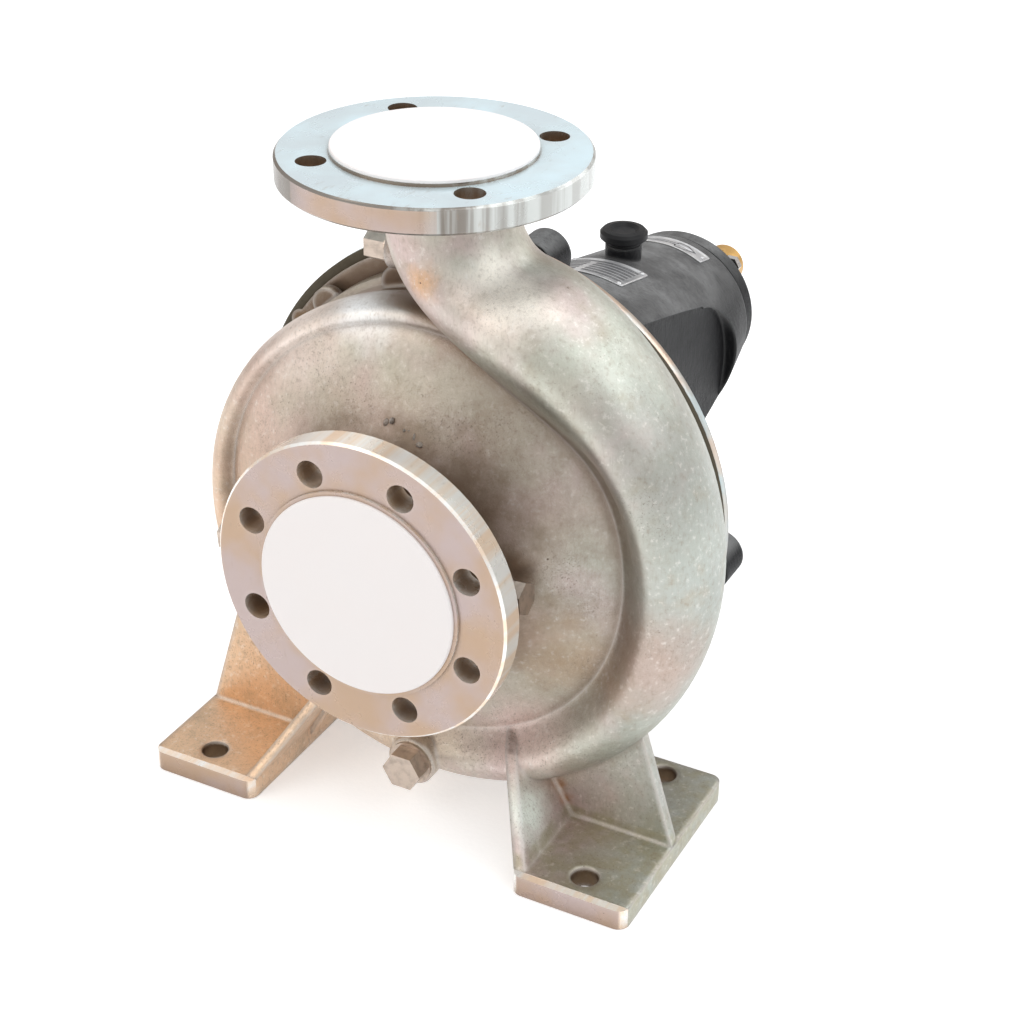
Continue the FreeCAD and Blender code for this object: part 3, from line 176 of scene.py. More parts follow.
class Finish:
    """A material's node tree, with short names for the nodes that every finish here is made of."""

    def __init__(self, name):
        self.material = bpy.data.materials.new(name)
        self.material.use_nodes = True
        self.tree = self.material.node_tree
        self.shader = self.tree.nodes["Principled BSDF"]
        self.place = self.node("ShaderNodeTexCoord").outputs["Object"]

    def node(self, kind, **settings):
        made = self.tree.nodes.new(kind)
        for key, value in settings.items():
            setattr(made, key, value)
        return made

    def put(self, source, socket):
        """Links a socket, or sets a plain value."""
        if isinstance(source, bpy.types.NodeSocket):
            self.tree.links.new(source, socket)
        elif hasattr(source, "__len__") and len(socket.default_value) == 4 and len(source) == 3:
            socket.default_value = (*source, 1.0)
        else:
            socket.default_value = source

    def shade(self, **values):
        for key, value in values.items():
            self.put(value, self.shader.inputs[key.replace("_", " ")])

    def noise(self, size, detail=3.0, roughness=0.55, place=None):
        """Smooth noise from 0 to 1 whose features are about size metres wide."""
        made = self.node("ShaderNodeTexNoise")
        self.put(place or self.place, made.inputs["Vector"])
        made.inputs["Scale"].default_value = 1.0 / size
        made.inputs["Detail"].default_value = detail
        made.inputs["Roughness"].default_value = roughness
        return made.outputs["Fac"]

    def cells(self, size):
        """Distance to the nearest of scattered points about size metres apart, in units of that size."""
        made = self.node("ShaderNodeTexVoronoi")
        self.put(self.place, made.inputs["Vector"])
        made.inputs["Scale"].default_value = 1.0 / size
        return made.outputs["Distance"]

    def band(self, value, low, high, start=0.0, end=1.0):
        """Runs smoothly from start to end while value goes from low to high."""
        made = self.node("ShaderNodeMapRange", interpolation_type="SMOOTHSTEP")
        self.put(value, made.inputs["Value"])
        for key, number in (("From Min", low), ("From Max", high), ("To Min", start), ("To Max", end)):
            made.inputs[key].default_value = number
        return made.outputs["Result"]

    def maths(self, kind, first, second=0.0, third=0.0):
        made = self.node("ShaderNodeMath", operation=kind)
        for socket, value in zip(made.inputs, (first, second, third)):
            self.put(value, socket)
        return made.outputs[0]

    def blend(self, amount, first, second):
        """Mixes two colours."""
        made = self.node("ShaderNodeMix", data_type="RGBA")
        self.put(amount, made.inputs[0])
        self.put(first, made.inputs[6])
        self.put(second, made.inputs[7])
        return made.outputs[2]

    def axes(self):
        """The place's x, y and z."""
        made = self.node("ShaderNodeSeparateXYZ")
        self.put(self.place, made.inputs[0])
        return made.outputs

    def crevice(self, reach):
        """1 in corners and holes closer than reach, 0 on open faces."""
        made = self.node("ShaderNodeAmbientOcclusion", samples=6)
        made.inputs["Distance"].default_value = reach
        return self.maths("SUBTRACT", 1.0, made.outputs["AO"])

    def relief(self, height, depth, normal=None):
        """Bump from a height of 0 to 1 that stands for depth metres."""
        made = self.node("ShaderNodeBump")
        made.inputs["Strength"].default_value = 1.0
        made.inputs["Distance"].default_value = depth
        self.put(height, made.inputs["Height"])
        if normal is not None:
            self.put(normal, made.inputs["Normal"])
        return made.outputs["Normal"]

    def soft_edges(self, radius, crisp=0.0):
        """Normals rounded near edges, but where crisp is 1, and a mask of where the edges are."""
        made = self.node("ShaderNodeBevel", samples=6)
        made.inputs["Radius"].default_value = radius
        plain = self.node("ShaderNodeNewGeometry").outputs["Normal"]
        mixed = self.node("ShaderNodeMix", data_type="VECTOR")
        self.put(crisp, mixed.inputs[0])
        self.put(made.outputs["Normal"], mixed.inputs[4])
        self.put(plain, mixed.inputs[5])
        turn = self.node("ShaderNodeVectorMath", operation="DOT_PRODUCT")
        self.put(made.outputs["Normal"], turn.inputs[0])
        self.put(plain, turn.inputs[1])
        return mixed.outputs[1], self.band(turn.outputs["Value"], 0.80, 0.985, 1.0, 0.0)

    def around(self, centre, reach, softness):
        """1 near a point, fading to 0 at reach metres from it, with a ragged edge."""
        offset = self.node("ShaderNodeVectorMath", operation="DISTANCE")
        self.put(self.place, offset.inputs[0])
        offset.inputs[1].default_value = centre
        rough = self.noise(reach * 0.5, 4.0)
        ragged = self.maths("MULTIPLY_ADD", rough, reach * 0.8, offset.outputs["Value"])
        return self.band(ragged, reach * (1.4 - softness), reach * 1.4, 1.0, 0.0)

    def distance_from(self, first_axis, first_place, second_axis, second_place):
        """Distance from a line that is parallel to the third axis, by Pythagoras."""
        axes = self.axes()
        first = self.maths("SUBTRACT", axes[first_axis], first_place)
        second = self.maths("SUBTRACT", axes[second_axis], second_place)
        square = self.maths("MULTIPLY_ADD", first, first, self.maths("MULTIPLY", second, second))
        return self.maths("SQRT", square)

    def foot_hole(self, centre):
        """1 on the wall of one foot's bolt hole, 0 elsewhere."""
        away = self.distance_from(0, centre[0], 1, centre[1])
        ragged = self.maths("MULTIPLY_ADD", self.noise(0.004, 3.0), 0.0006, away)
        return self.band(ragged, FOOT_HOLE_RADIUS + 0.0004, FOOT_HOLE_RADIUS + 0.0009, 0.9, 0.0)

    def facing(self, axis, low, high):
        """0 to 1 as the surface turns to face along an axis, to either side."""
        made = self.node("ShaderNodeSeparateXYZ")
        self.put(self.node("ShaderNodeNewGeometry").outputs["Normal"], made.inputs[0])
        return self.band(self.maths("ABSOLUTE", made.outputs[axis]), low, high)

    def shaft_radius(self):
        """Distance from the shaft axis."""
        return self.distance_from(0, 0.0, 2, AXIS_HEIGHT)

    def bore_radius(self):
        """Distance from the discharge centre line."""
        return self.distance_from(0, 0.0, 1, DISCHARGE_LINE_Y)

    def tool_rings(self, radius, pitch):
        """A sine wave of the radius: one ring for each pitch."""
        return self.maths("SINE", self.maths("MULTIPLY", radius, 2 * math.pi / pitch))

    def overlay(self, colour, mask, amount, tint):
        """Mixes a tint over a colour where the mask is, by no more than the amount."""
        return self.blend(self.maths("MULTIPLY", mask, amount), colour, tint)

    def stretched(self, scale):
        """The place scaled along each axis, so that noise on it turns into streaks."""
        made = self.node("ShaderNodeMapping")
        self.put(self.place, made.inputs["Vector"])
        made.inputs["Scale"].default_value = scale
        return made.outputs["Vector"]


def cast_stainless(name, turned_places=True):
    """Blasted and hand-blended stainless casting: tinted patches, pits, stained corners, turned flanges."""
    finish = Finish(name)
    look = bpy.context.scene.pump_finishes
    z = finish.axes()["Z"]
    grime = finish.noise(0.020, 5.0, 0.62)
    colour = cast_tints(finish, grime)
    brushed = finish.noise(0.0014, 4.0, 0.65, finish.stretched((1.0, 1.0, 0.16)))
    colour = finish.blend(finish.band(brushed, 0.48, 0.80, 0.0, 0.42), colour, (0.33, 0.29, 0.25))
    blotch = finish.noise(0.0042, 4.0, 0.7)
    colour = finish.blend(finish.band(blotch, 0.52, 0.72, 0.0, 0.36), colour, (0.30, 0.235, 0.18))
    colour = finish.blend(finish.band(blotch, 0.46, 0.30, 0.0, 0.34), colour, (0.90, 0.87, 0.83))
    on_feet = finish.band(z, 0.085, 0.120, 1.0, 0.0)
    sooty = finish.maths("MAXIMUM", finish.band(finish.noise(0.05, 3.0), 0.46, 0.64), on_feet)
    specks = finish.maths("MULTIPLY", finish.band(finish.noise(0.0011, 2.0, 0.7), 0.60, 0.70), sooty)
    colour = finish.overlay(colour, specks, 0.55, (0.16, 0.12, 0.09))
    pits = finish.band(finish.cells(look.pit_spacing), 0.016, 0.030, 1.0, 0.0)
    colour = finish.overlay(colour, pits, 0.85, (0.10, 0.055, 0.045))
    corner = finish.band(finish.crevice(0.014), 0.45, 1.0)
    colour, metal = cast_stains(finish, colour, grime, corner)
    hills = finish.noise(0.028, 2.0, 0.5)
    grain = finish.noise(0.0011, 4.0, 0.7)
    height = finish.maths("MULTIPLY_ADD", hills, 1.5, finish.maths("MULTIPLY", grain, 0.42))
    sandy = finish.maths("MULTIPLY", on_feet, 0.7)
    height = finish.maths("MULTIPLY_ADD", finish.noise(0.0045, 3.0), sandy, height)
    height = finish.maths("MULTIPLY_ADD", brushed, 0.22, height)
    height = finish.maths("MULTIPLY_ADD", finish.maths("ADD", pits, specks), -0.5, height)
    smoothest, roughest = look.cast_roughness - 0.05, look.cast_roughness + 0.09
    rough = finish.band(finish.noise(0.035, 4.0), 0.3, 0.7, smoothest, roughest)
    turned = 0.0
    if turned_places:
        turned, colour, height, rough = turned_over(finish, colour, height, rough)
    normal, edge = finish.soft_edges(0.006, turned)
    # Paler colour along convex edges, weaker on turned faces and in corners: a painted edge highlight
    edge_highlight_share = finish.maths("SUBTRACT", finish.maths("MULTIPLY_ADD", turned, -0.45, 0.55), corner)
    wear_and_edge_highlight = finish.maths("MAXIMUM", finish.maths("MULTIPLY", edge, edge_highlight_share), 0.0)
    colour = finish.blend(wear_and_edge_highlight, colour, (0.74, 0.70, 0.66))
    finish.shade(Base_Color=colour, Metallic=finish.maths("MULTIPLY_ADD", turned, -0.42, metal),
                 Roughness=rough, Normal=finish.relief(height, 0.00035, normal))
    return finish.material


def cast_stains(finish, colour, grime, corner):
    """Painted shade, dark brown, in the shell's valley and folds, rust in corners and holes, and how
    metallic all is.
    """
    look = bpy.context.scene.pump_finishes
    z = finish.axes()["Z"]
    under_neck, over_feet = finish.band(z, 0.370, 0.400, 1.0, 0.0), finish.band(z, 0.070, 0.110)
    on_shell = finish.maths("MULTIPLY", under_neck, over_feet)
    # Dark brown in the shell's valley and in the fold under the neck: painted shade
    valley = finish.maths("MULTIPLY", finish.band(finish.crevice(0.070), 0.08, 0.42), on_shell)
    valley_shade = finish.maths("MULTIPLY", valley, finish.band(grime, 0.25, 0.65, 0.65, 0.95))
    colour = finish.blend(valley_shade, colour, (0.17, 0.115, 0.075))
    fold = finish.maths("MULTIPLY", finish.band(finish.crevice(0.034), 0.12, 0.42), on_shell)
    colour = finish.overlay(colour, fold, 0.85, (0.15, 0.095, 0.06))
    rust = finish.maths("MULTIPLY", corner, finish.band(grime, 0.2, 0.7, 0.5, 1.0))
    colour = finish.blend(rust, colour, look.stain_colour)
    for spot in RUST_SPOTS:
        colour = finish.overlay(colour, finish.around(spot, 0.008, 1.3), 0.8, (0.42, 0.19, 0.07))
    for place in FOOT_HOLES:
        colour = finish.blend(finish.foot_hole(place), colour, (0.17, 0.105, 0.055))
    # Less metallic where the rust and the painted valley shade are
    metal = finish.maths("MULTIPLY_ADD", finish.maths("MAXIMUM", rust, valley_shade), -0.5, 0.93)
    for centre, reach in DULL_PLACES:
        metal = finish.maths("MULTIPLY_ADD", finish.around(centre, reach, 1.0), -0.55, metal)
    return colour, metal


def cast_tints(finish, grime):
    """Beige metal with cool and pinkish patches, painted warm light low at -X, painted grey shade at +X,
    sooty round the neck.
    """
    look = bpy.context.scene.pump_finishes
    x, _, z = finish.axes()
    cool = finish.band(finish.noise(0.16, 2.0), 0.40, 0.60)
    colour = finish.blend(cool, look.cast_colour, look.cast_cool_colour)
    warm = finish.band(finish.noise(0.075, 3.0, 0.55), 0.40, 0.66, 0.0, 0.9)
    colour = finish.blend(warm, colour, look.cast_warm_colour)
    drift = finish.maths("MULTIPLY_ADD", grime, 0.10, x)
    # Greyer towards +X: painted shade on the side away from the warm light
    colour = finish.blend(finish.band(drift, 0.13, 0.24, 0.0, 0.85), colour, (0.43, 0.48, 0.445))
    # Orange low down at -X: painted warm light falling from that side
    low_down = finish.band(z, 0.06, 0.34, 0.95, 0.25)
    painted_warm_light = finish.maths("MULTIPLY", finish.band(drift, -0.11, 0.12, 1.0, 0.0), low_down)
    colour = finish.blend(painted_warm_light, colour, (0.76, 0.53, 0.345))
    colour = finish.blend(finish.band(grime, 0.46, 0.80, 0.0, 0.5), colour, (0.42, 0.335, 0.24))
    scatter = finish.maths("MULTIPLY_ADD", grime, -0.05, finish.shaft_radius())
    round_neck = finish.band(scatter, 0.028, 0.080, 0.85, 0.0)
    soot = finish.maths("MULTIPLY", round_neck, finish.band(drift, -0.03, 0.09))
    colour = finish.blend(soot, colour, (0.225, 0.185, 0.115))
    # Local patches of colour; the near-white ones are painted highlights
    for centre, reach, tint, amount in TINTS_AND_PAINTED_HIGHLIGHTS:
        colour = finish.overlay(colour, finish.around(centre, reach, 0.9), amount, tint)
    foot_plates = finish.band(z, 0.020, 0.024, 1.0, 0.0)
    right_plate = finish.maths("MULTIPLY", foot_plates, finish.band(drift, 0.02, 0.12))
    olive = finish.band(finish.noise(0.013, 4.0, 0.6), 0.35, 0.62, 0.15, 0.75)
    return finish.blend(finish.maths("MULTIPLY", right_plate, olive), colour, (0.42, 0.385, 0.27))


def turned_over(finish, colour, height, rough):
    """Lays bright turned metal over the flanges: fine tool rings on the faces, painted reflection streaks
    across the rims, a painted bluish reflection on the discharge face and painted light and shade on the
    suction rim.
    """
    look = bpy.context.scene.pump_finishes
    x, y, z = finish.axes()
    suction_end = SUCTION_FACE_Y + TURNED_DEPTH
    discharge_end = DISCHARGE_FACE_Z - TURNED_DEPTH
    suction = finish.band(y, suction_end, suction_end + 0.0004, 1.0, 0.0)
    discharge = finish.band(z, discharge_end - 0.0004, discharge_end)
    turned = finish.maths("MAXIMUM", suction, discharge)
    sheen = finish.noise(0.05, 3.0)
    bright = finish.blend(finish.band(sheen, 0.35, 0.65), look.turned_colour, (0.50, 0.405, 0.385))
    # Bluish on the discharge flange's top face: a painted reflection
    top = finish.maths("MULTIPLY", discharge, finish.facing(2, 0.8, 0.95))
    cool = finish.maths("MULTIPLY", top, finish.band(sheen, 0.3, 0.62, 1.0, 0.75))
    bright = finish.blend(cool, bright, look.discharge_reflection_colour)
    front = finish.maths("MULTIPLY", suction, finish.facing(1, 0.8, 0.95))
    rim = finish.maths("SUBTRACT", turned, finish.maths("MAXIMUM", top, front))
    # Streaks on the rims, white and orange on the discharge rim: painted reflections
    along_shaft = finish.noise(0.012, 4.0, 0.6, finish.stretched((1.0, 0.03, 1.0)))
    upright = finish.noise(0.012, 4.0, 0.6, finish.stretched((1.0, 1.0, 0.03)))
    streaks = finish.band(finish.blend(discharge, along_shaft, upright), 0.38, 0.62)
    rim_reflection_colour = finish.blend(streaks, (1.0, 0.80, 0.62), (1.0, 1.0, 0.97))
    # The suction rim dark towards -X and pale towards +X: painted shade and painted highlight
    to_right = finish.band(finish.maths("MULTIPLY_ADD", streaks, 0.05, x), 0.05, 0.12)
    dull = finish.blend(to_right, (0.22, 0.195, 0.17), (0.60, 0.62, 0.60))
    bright = finish.blend(rim, bright, finish.blend(discharge, rim_reflection_colour, dull))
    wear_and_edge_highlight = finish.noise(0.004, 4.0, 0.6, finish.stretched((1.0, 0.3, 0.3)))
    bright = finish.blend(finish.band(wear_and_edge_highlight, 0.6, 0.8, 0.0, 0.4), bright, (0.38, 0.29, 0.22))
    hole = finish.band(finish.crevice(0.030), 0.35, 0.62)
    bright = finish.blend(hole, bright, (0.20, 0.11, 0.05))
    colour = finish.blend(turned, colour, bright)
    front_rings = finish.tool_rings(finish.shaft_radius(), TOOL_RING_PITCH)
    top_rings = finish.tool_rings(finish.bore_radius(), TOOL_RING_PITCH)
    rings = finish.maths("MULTIPLY", front_rings, suction)
    rings = finish.maths("MULTIPLY_ADD", top_rings, discharge, rings)
    flat = finish.maths("MULTIPLY", height, finish.maths("MULTIPLY_ADD", turned, -0.94, 1.0))
    height = finish.maths("MULTIPLY_ADD", rings, 0.03, flat)
    smooth = finish.maths("MULTIPLY_ADD", turned, -0.14, rough)
    return turned, colour, height, finish.maths("MULTIPLY_ADD", rim, -0.06, smooth)


def cover_band(name, groove_y):
    """The cover's turned rim: cool bright metal with warm patches, and a dark band of painted shade in
    front of groove_y.
    """
    finish = Finish(name)
    _, y, z = finish.axes()
    patch = finish.noise(0.05, 3.0)
    colour = finish.blend(finish.band(patch, 0.50, 0.66, 0.0, 0.85), (0.60, 0.68, 0.69), (0.72, 0.53, 0.40))
    colour = finish.blend(finish.band(z, 0.20, 0.30, 0.6, 0.0), colour, (0.36, 0.46, 0.48))
    wear_and_edge_highlight = finish.noise(0.006, 4.0, 0.6)
    colour = finish.blend(finish.band(wear_and_edge_highlight, 0.5, 0.8, 0.0, 0.5), colour, (0.45, 0.40, 0.34))
    # Dark band at the rim's front: painted shade of the groove, also less metallic and rougher
    ragged = finish.maths("MULTIPLY_ADD", wear_and_edge_highlight, 0.0012, y)
    groove = finish.band(ragged, groove_y, groove_y + 0.0006, 1.0, 0.0)
    colour = finish.blend(groove, colour, (0.060, 0.046, 0.024))
    height = finish.maths("MULTIPLY_ADD", finish.tool_rings(y, 0.0008976), 0.05, finish.noise(0.008, 3.0))
    rough = finish.maths("MULTIPLY_ADD", groove, 0.3, finish.band(wear_and_edge_highlight, 0.3, 0.7, 0.28, 0.42))
    finish.shade(Base_Color=colour, Metallic=finish.maths("MULTIPLY_ADD", groove, -0.75, 0.8),
                 Roughness=rough, Normal=finish.relief(height, 0.00012))
    return finish.material


def machined(name, colour, roughness=0.3, ring_pitch=0.0007):
    """Turned steel with fine rings about the shaft."""
    finish = Finish(name)
    rings = finish.tool_rings(finish.shaft_radius(), ring_pitch)
    mark = finish.noise(0.006, 4.0)
    darker = tuple(0.72 * value for value in colour)
    shade = finish.blend(finish.band(mark, 0.4, 0.75), colour, darker)
    shade = finish.blend(finish.band(finish.crevice(0.008), 0.5, 0.9), shade, (0.16, 0.12, 0.09))
    finish.shade(Base_Color=shade, Metallic=0.95,
                 Roughness=finish.band(mark, 0.3, 0.8, roughness - 0.06, roughness + 0.1),
                 Normal=finish.relief(rings, 0.00002))
    return finish.material


def waxed_shaft(name):
    """Ground shaft steel whose coupling end is dipped in golden wax."""
    finish = Finish(name)
    look = bpy.context.scene.pump_finishes
    y = finish.axes()["Y"]
    edge = finish.maths("MULTIPLY_ADD", finish.noise(0.01, 2.0), 0.004, y)
    waxed = finish.band(edge, WAX_START_Y, WAX_START_Y + 0.0015)
    drips = finish.noise(0.008, 3.0)
    gold = finish.blend(drips, look.wax_colour, tuple(0.6 * value for value in look.wax_colour))
    colour = finish.blend(waxed, (0.62, 0.61, 0.60), gold)
    finish.shade(Base_Color=colour, Metallic=finish.maths("MULTIPLY_ADD", waxed, -0.45, 1.0),
                 Roughness=finish.band(drips, 0.3, 0.7, 0.25, 0.42), Normal=finish.relief(drips, 0.0003))
    return finish.material


def bracket_paint(name):
    """Semi-gloss black paint over rough iron, pale with dust on top, and paler along the edges as a painted
    highlight.
    """
    finish = Finish(name)
    look = bpy.context.scene.pump_finishes
    skin = finish.noise(0.0026, 5.0, 0.7, finish.stretched((1.0, 1.0, 0.4)))
    coarse = finish.noise(0.012, 3.0, 0.5)
    dust = finish.noise(0.05, 5.0, 0.65)
    lying = finish.facing(2, 0.35, 0.95)
    settled = finish.maths("MULTIPLY", lying, finish.band(dust, 0.35, 0.65, 0.35, 1.0))
    colour = finish.blend(settled, look.paint_colour, (0.24, 0.24, 0.238))
    colour = finish.blend(finish.band(skin, 0.50, 0.75, 0.0, 0.6), colour, (0.040, 0.040, 0.039))
    height = finish.maths("MULTIPLY_ADD", skin, 1.1, coarse)
    normal, edge = finish.soft_edges(0.004)
    # Paler grey along the edges: a painted highlight
    colour = finish.blend(finish.maths("MULTIPLY", edge, 0.6), colour, (0.13, 0.13, 0.128))
    finish.shade(Base_Color=colour, Metallic=0.0, Roughness=finish.band(dust, 0.3, 0.8, 0.38, 0.52),
                 Normal=finish.relief(height, 0.0005, normal))
    finish.shader.inputs["Specular IOR Level"].default_value = 0.10
    return finish.material


def moulded(name, colour, roughness):
    """Moulded rubber, carbon or plastic with a fine grain and slightly uneven tone."""
    finish = Finish(name)
    grain = finish.noise(0.0012, 3.0)
    tone = finish.noise(0.012, 3.0)
    shade = finish.blend(finish.band(tone, 0.35, 0.7), colour, tuple(0.75 * value for value in colour))
    finish.shade(Base_Color=shade, Metallic=0.0,
                 Roughness=finish.band(tone, 0.3, 0.7, roughness - 0.05, roughness + 0.07),
                 Normal=finish.relief(grain, 0.00008))
    finish.shader.inputs["Specular IOR Level"].default_value = 0.15
    return finish.material


def port_cover_board(name):
    """Smooth white board with a trace of fibre."""
    finish = Finish(name)
    look = bpy.context.scene.pump_finishes
    fibre = finish.noise(0.002, 4.0)
    tone = finish.noise(0.05, 2.0)
    shade = finish.blend(finish.band(tone, 0.3, 0.7, 0.0, 0.3), look.port_cover_colour, (0.90, 0.875, 0.87))
    finish.shade(Base_Color=shade, Roughness=0.75, Normal=finish.relief(fibre, 0.00002))
    return finish.material


def sight_glass(name):
    """Clear glass with amber oil behind it up to its level."""
    finish = Finish(name)
    z = finish.axes()["Z"]
    oil = finish.band(z, OIL_LEVEL, OIL_LEVEL + 0.0015, 1.0, 0.0)
    shade = finish.blend(oil, (0.80, 0.83, 0.82), (0.55, 0.33, 0.08))
    finish.shade(Base_Color=shade, Roughness=0.08, Alpha=0.75,
                 Normal=finish.relief(finish.noise(0.01, 2.0), 0.00005))
    finish.shader.inputs["IOR"].default_value = 1.5
    return finish.material


def plate_metal(name):
    """Brushed bright plate with fine scratches one way."""
    finish = Finish(name)
    scratch = finish.noise(0.0006, 3.0, 0.6, finish.stretched((0.12, 1.0, 0.12)))
    tone = finish.noise(0.01, 3.0)
    shade = finish.blend(finish.band(tone, 0.3, 0.7), (0.70, 0.70, 0.70), (0.52, 0.52, 0.53))
    finish.shade(Base_Color=shade, Metallic=0.7, Roughness=finish.band(scratch, 0.3, 0.7, 0.28, 0.44),
                 Normal=finish.relief(scratch, 0.00003))
    return finish.material


def plate_print(name):
    """The dull dark enamel in the plates' sunk fields."""
    finish = Finish(name)
    tone = finish.noise(0.004, 4.0)
    shade = finish.blend(tone, (0.115, 0.115, 0.12), (0.20, 0.20, 0.205))
    finish.shade(Base_Color=shade, Metallic=0.4, Roughness=0.42, Normal=finish.relief(tone, 0.00004))
    return finish.material


# Shapes

def make_piece(name, grid, material, body="root", ring=False):
    """Makes a closed mesh from a grid of points, rows by columns, each row closed round.

    The faces join each point to the next one along its row and to the row after. In a ring the last row
    joins the first; otherwise both ends are capped by a fan from the mean of the end row's points. An end
    row of one repeated point is only that fan's middle.
    """
    poles = grid[[0, -1]].mean(1)
    if np.ptp(grid[0], axis=0).max() < 1e-7:
        grid = grid[1:-1]
    rows, columns = grid.shape[:2]
    points = grid.reshape(-1, 3)
    row, column = np.meshgrid(np.arange(rows if ring else rows - 1), np.arange(columns), indexing="ij")
    after, below = (column + 1) % columns, (row + 1) % rows
    faces = np.stack([row * columns + column, row * columns + after,
                      below * columns + after, below * columns + column], -1).reshape(-1, 4)
    face_list = faces.tolist()
    if not ring:
        points = np.vstack([points, poles])
        first, last = len(points) - 2, len(points) - 1
        around = np.arange(columns)
        ahead = (around + 1) % columns
        base = (rows - 1) * columns
        face_list += np.stack([ahead, around, np.full(columns, first)], -1).tolist()
        face_list += np.stack([base + around, base + ahead, np.full(columns, last)], -1).tolist()
    mesh = bpy.data.meshes.new(name)
    mesh.from_pydata(points.tolist(), [], face_list)
    mesh.polygons.foreach_set("use_smooth", np.ones(len(mesh.polygons), dtype=bool))
    mesh.materials.append(material)
    mesh.update()
    piece = bpy.data.objects.new(name, mesh)
    bpy.context.scene.collection.objects.link(piece)
    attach(piece, body)
    return piece


def join_grids(name, grids, material, body="root"):
    """Makes one piece of several closed grids."""
    made = [make_piece("%s_%d" % (name, index), grid, material, body)
            for index, grid in enumerate(grids)]
    with bpy.context.temp_override(active_object=made[0], selected_editable_objects=made):
        bpy.ops.object.join()
    made[0].name = name
    made[0].data.name = name
    return made[0]


def rounded_outline(half_width, half_length, corner):
    """Points evenly round a rectangle, then moved onto its rounded corners.

    A point is split into the nearest point of the rectangle shrunk by the corner, and the rest, which is
    given the corner's length.
    """
    turn = np.linspace(0, 4, OUTLINE_POINTS, endpoint=False)
    side, along = turn.astype(int), (turn % 1) * 2 - 1
    one = np.ones_like(along)
    x = np.choose(side, [one, -along, -one, along])
    y = np.choose(side, [along, one, -along, -one])
    size = np.array([half_width, half_length])
    point = np.stack([x, y], -1) * size
    inner = np.clip(point, corner - size, size - corner)
    rest = point - inner
    return inner + corner * rest / np.linalg.norm(rest, axis=-1, keepdims=True)


def barrel_surface(flat, angle, middle_y, lift):
    """Wraps flat (round, along) points on the tapered barrel, lifted off it.

    A point's angle is the middle angle less its distance round over the radius, and its radius is the
    barrel's there plus the lift.
    """
    sizes = bpy.context.scene.pump_plates
    y = middle_y + flat[..., 1]
    radius = sizes.barrel_rear_radius + sizes.barrel_taper * (sizes.barrel_rear_y - y)
    turn = angle - flat[..., 0] / radius
    reach = radius + lift
    return np.stack([reach * np.cos(turn), y, AXIS_HEIGHT + reach * np.sin(turn)], -1)


def plate_grid(width, length, angle, middle_y, profile, corner=0.002, offset=(0.0, 0.0)):
    """A plate on the barrel: an outline carried over a profile of (inset, lift) steps, from below upwards.

    The rings go on inwards from the last step, and both ends close in a ring of one repeated point.
    """
    inset, top = profile[-1]
    deepest = min(width, length) / 2 - 0.0006
    steps = list(profile) + [(reach, top) for reach in np.linspace(inset, deepest, 5)[1:]]
    rows = []
    for inset, lift in steps:
        half_width, half_length = width / 2 - inset, length / 2 - inset
        round_off = min(max(corner - inset / 2, 0.0003), half_width * 0.9, half_length * 0.9)
        flat = rounded_outline(half_width, half_length, round_off) + offset
        rows.append(barrel_surface(flat, angle, middle_y, lift))
    middle = np.zeros((OUTLINE_POINTS, 2)) + offset
    below = barrel_surface(middle, angle, middle_y, -0.0004)
    above = barrel_surface(middle, angle, middle_y, top)
    return np.array([below] + rows + [above])


def dome_grid(centre, out, radius, height, rows=6, columns=20):
    """A low dome: the radius falls as a cosine while the height rises as a sine, on a short foot."""
    out = np.asarray(out, float) / np.linalg.norm(out)
    side = np.cross(out, (0.0, 1.0, 0.0))
    side /= np.linalg.norm(side)
    other = np.cross(out, side)
    rise = np.linspace(0, np.pi / 2 * 0.92, rows)
    radii = np.concatenate([[radius], radius * np.cos(rise)])
    heights = np.concatenate([[-height], height * np.sin(rise)])
    turn = np.linspace(0, 2 * np.pi, columns, endpoint=False)
    ring = np.cos(turn)[None, :, None] * side + np.sin(turn)[None, :, None] * other
    return np.asarray(centre) + radii[:, None, None] * ring + heights[:, None, None] * out


def seeded_noise(points, size, seed):
    """Smooth noise from a few random waves, the same at every run."""
    rng = np.random.default_rng(seed)
    waves = rng.normal(size=(14, 3)) / size
    phases = rng.uniform(0, 2 * np.pi, 14)
    return np.sin(points @ waves.T + phases).mean(-1)


def lump_grid(centre, radii, seed, rows=18, columns=28, rough=0.4):
    """A cast lump: an ellipsoid whose points are pushed in and out by smooth noise."""
    rise = np.linspace(-0.48 * np.pi, 0.48 * np.pi, rows)
    turn = np.linspace(0, 2 * np.pi, columns, endpoint=False)
    unit = np.stack([np.cos(rise)[:, None] * np.cos(turn), np.cos(rise)[:, None] * np.sin(turn),
                     np.sin(rise)[:, None] * np.ones(columns)], -1)
    swell = 1 + rough * seeded_noise(unit, 0.9, seed) * 2
    return np.asarray(centre) + unit * np.asarray(radii) * swell[..., None]


# Operators, one for each piece or group

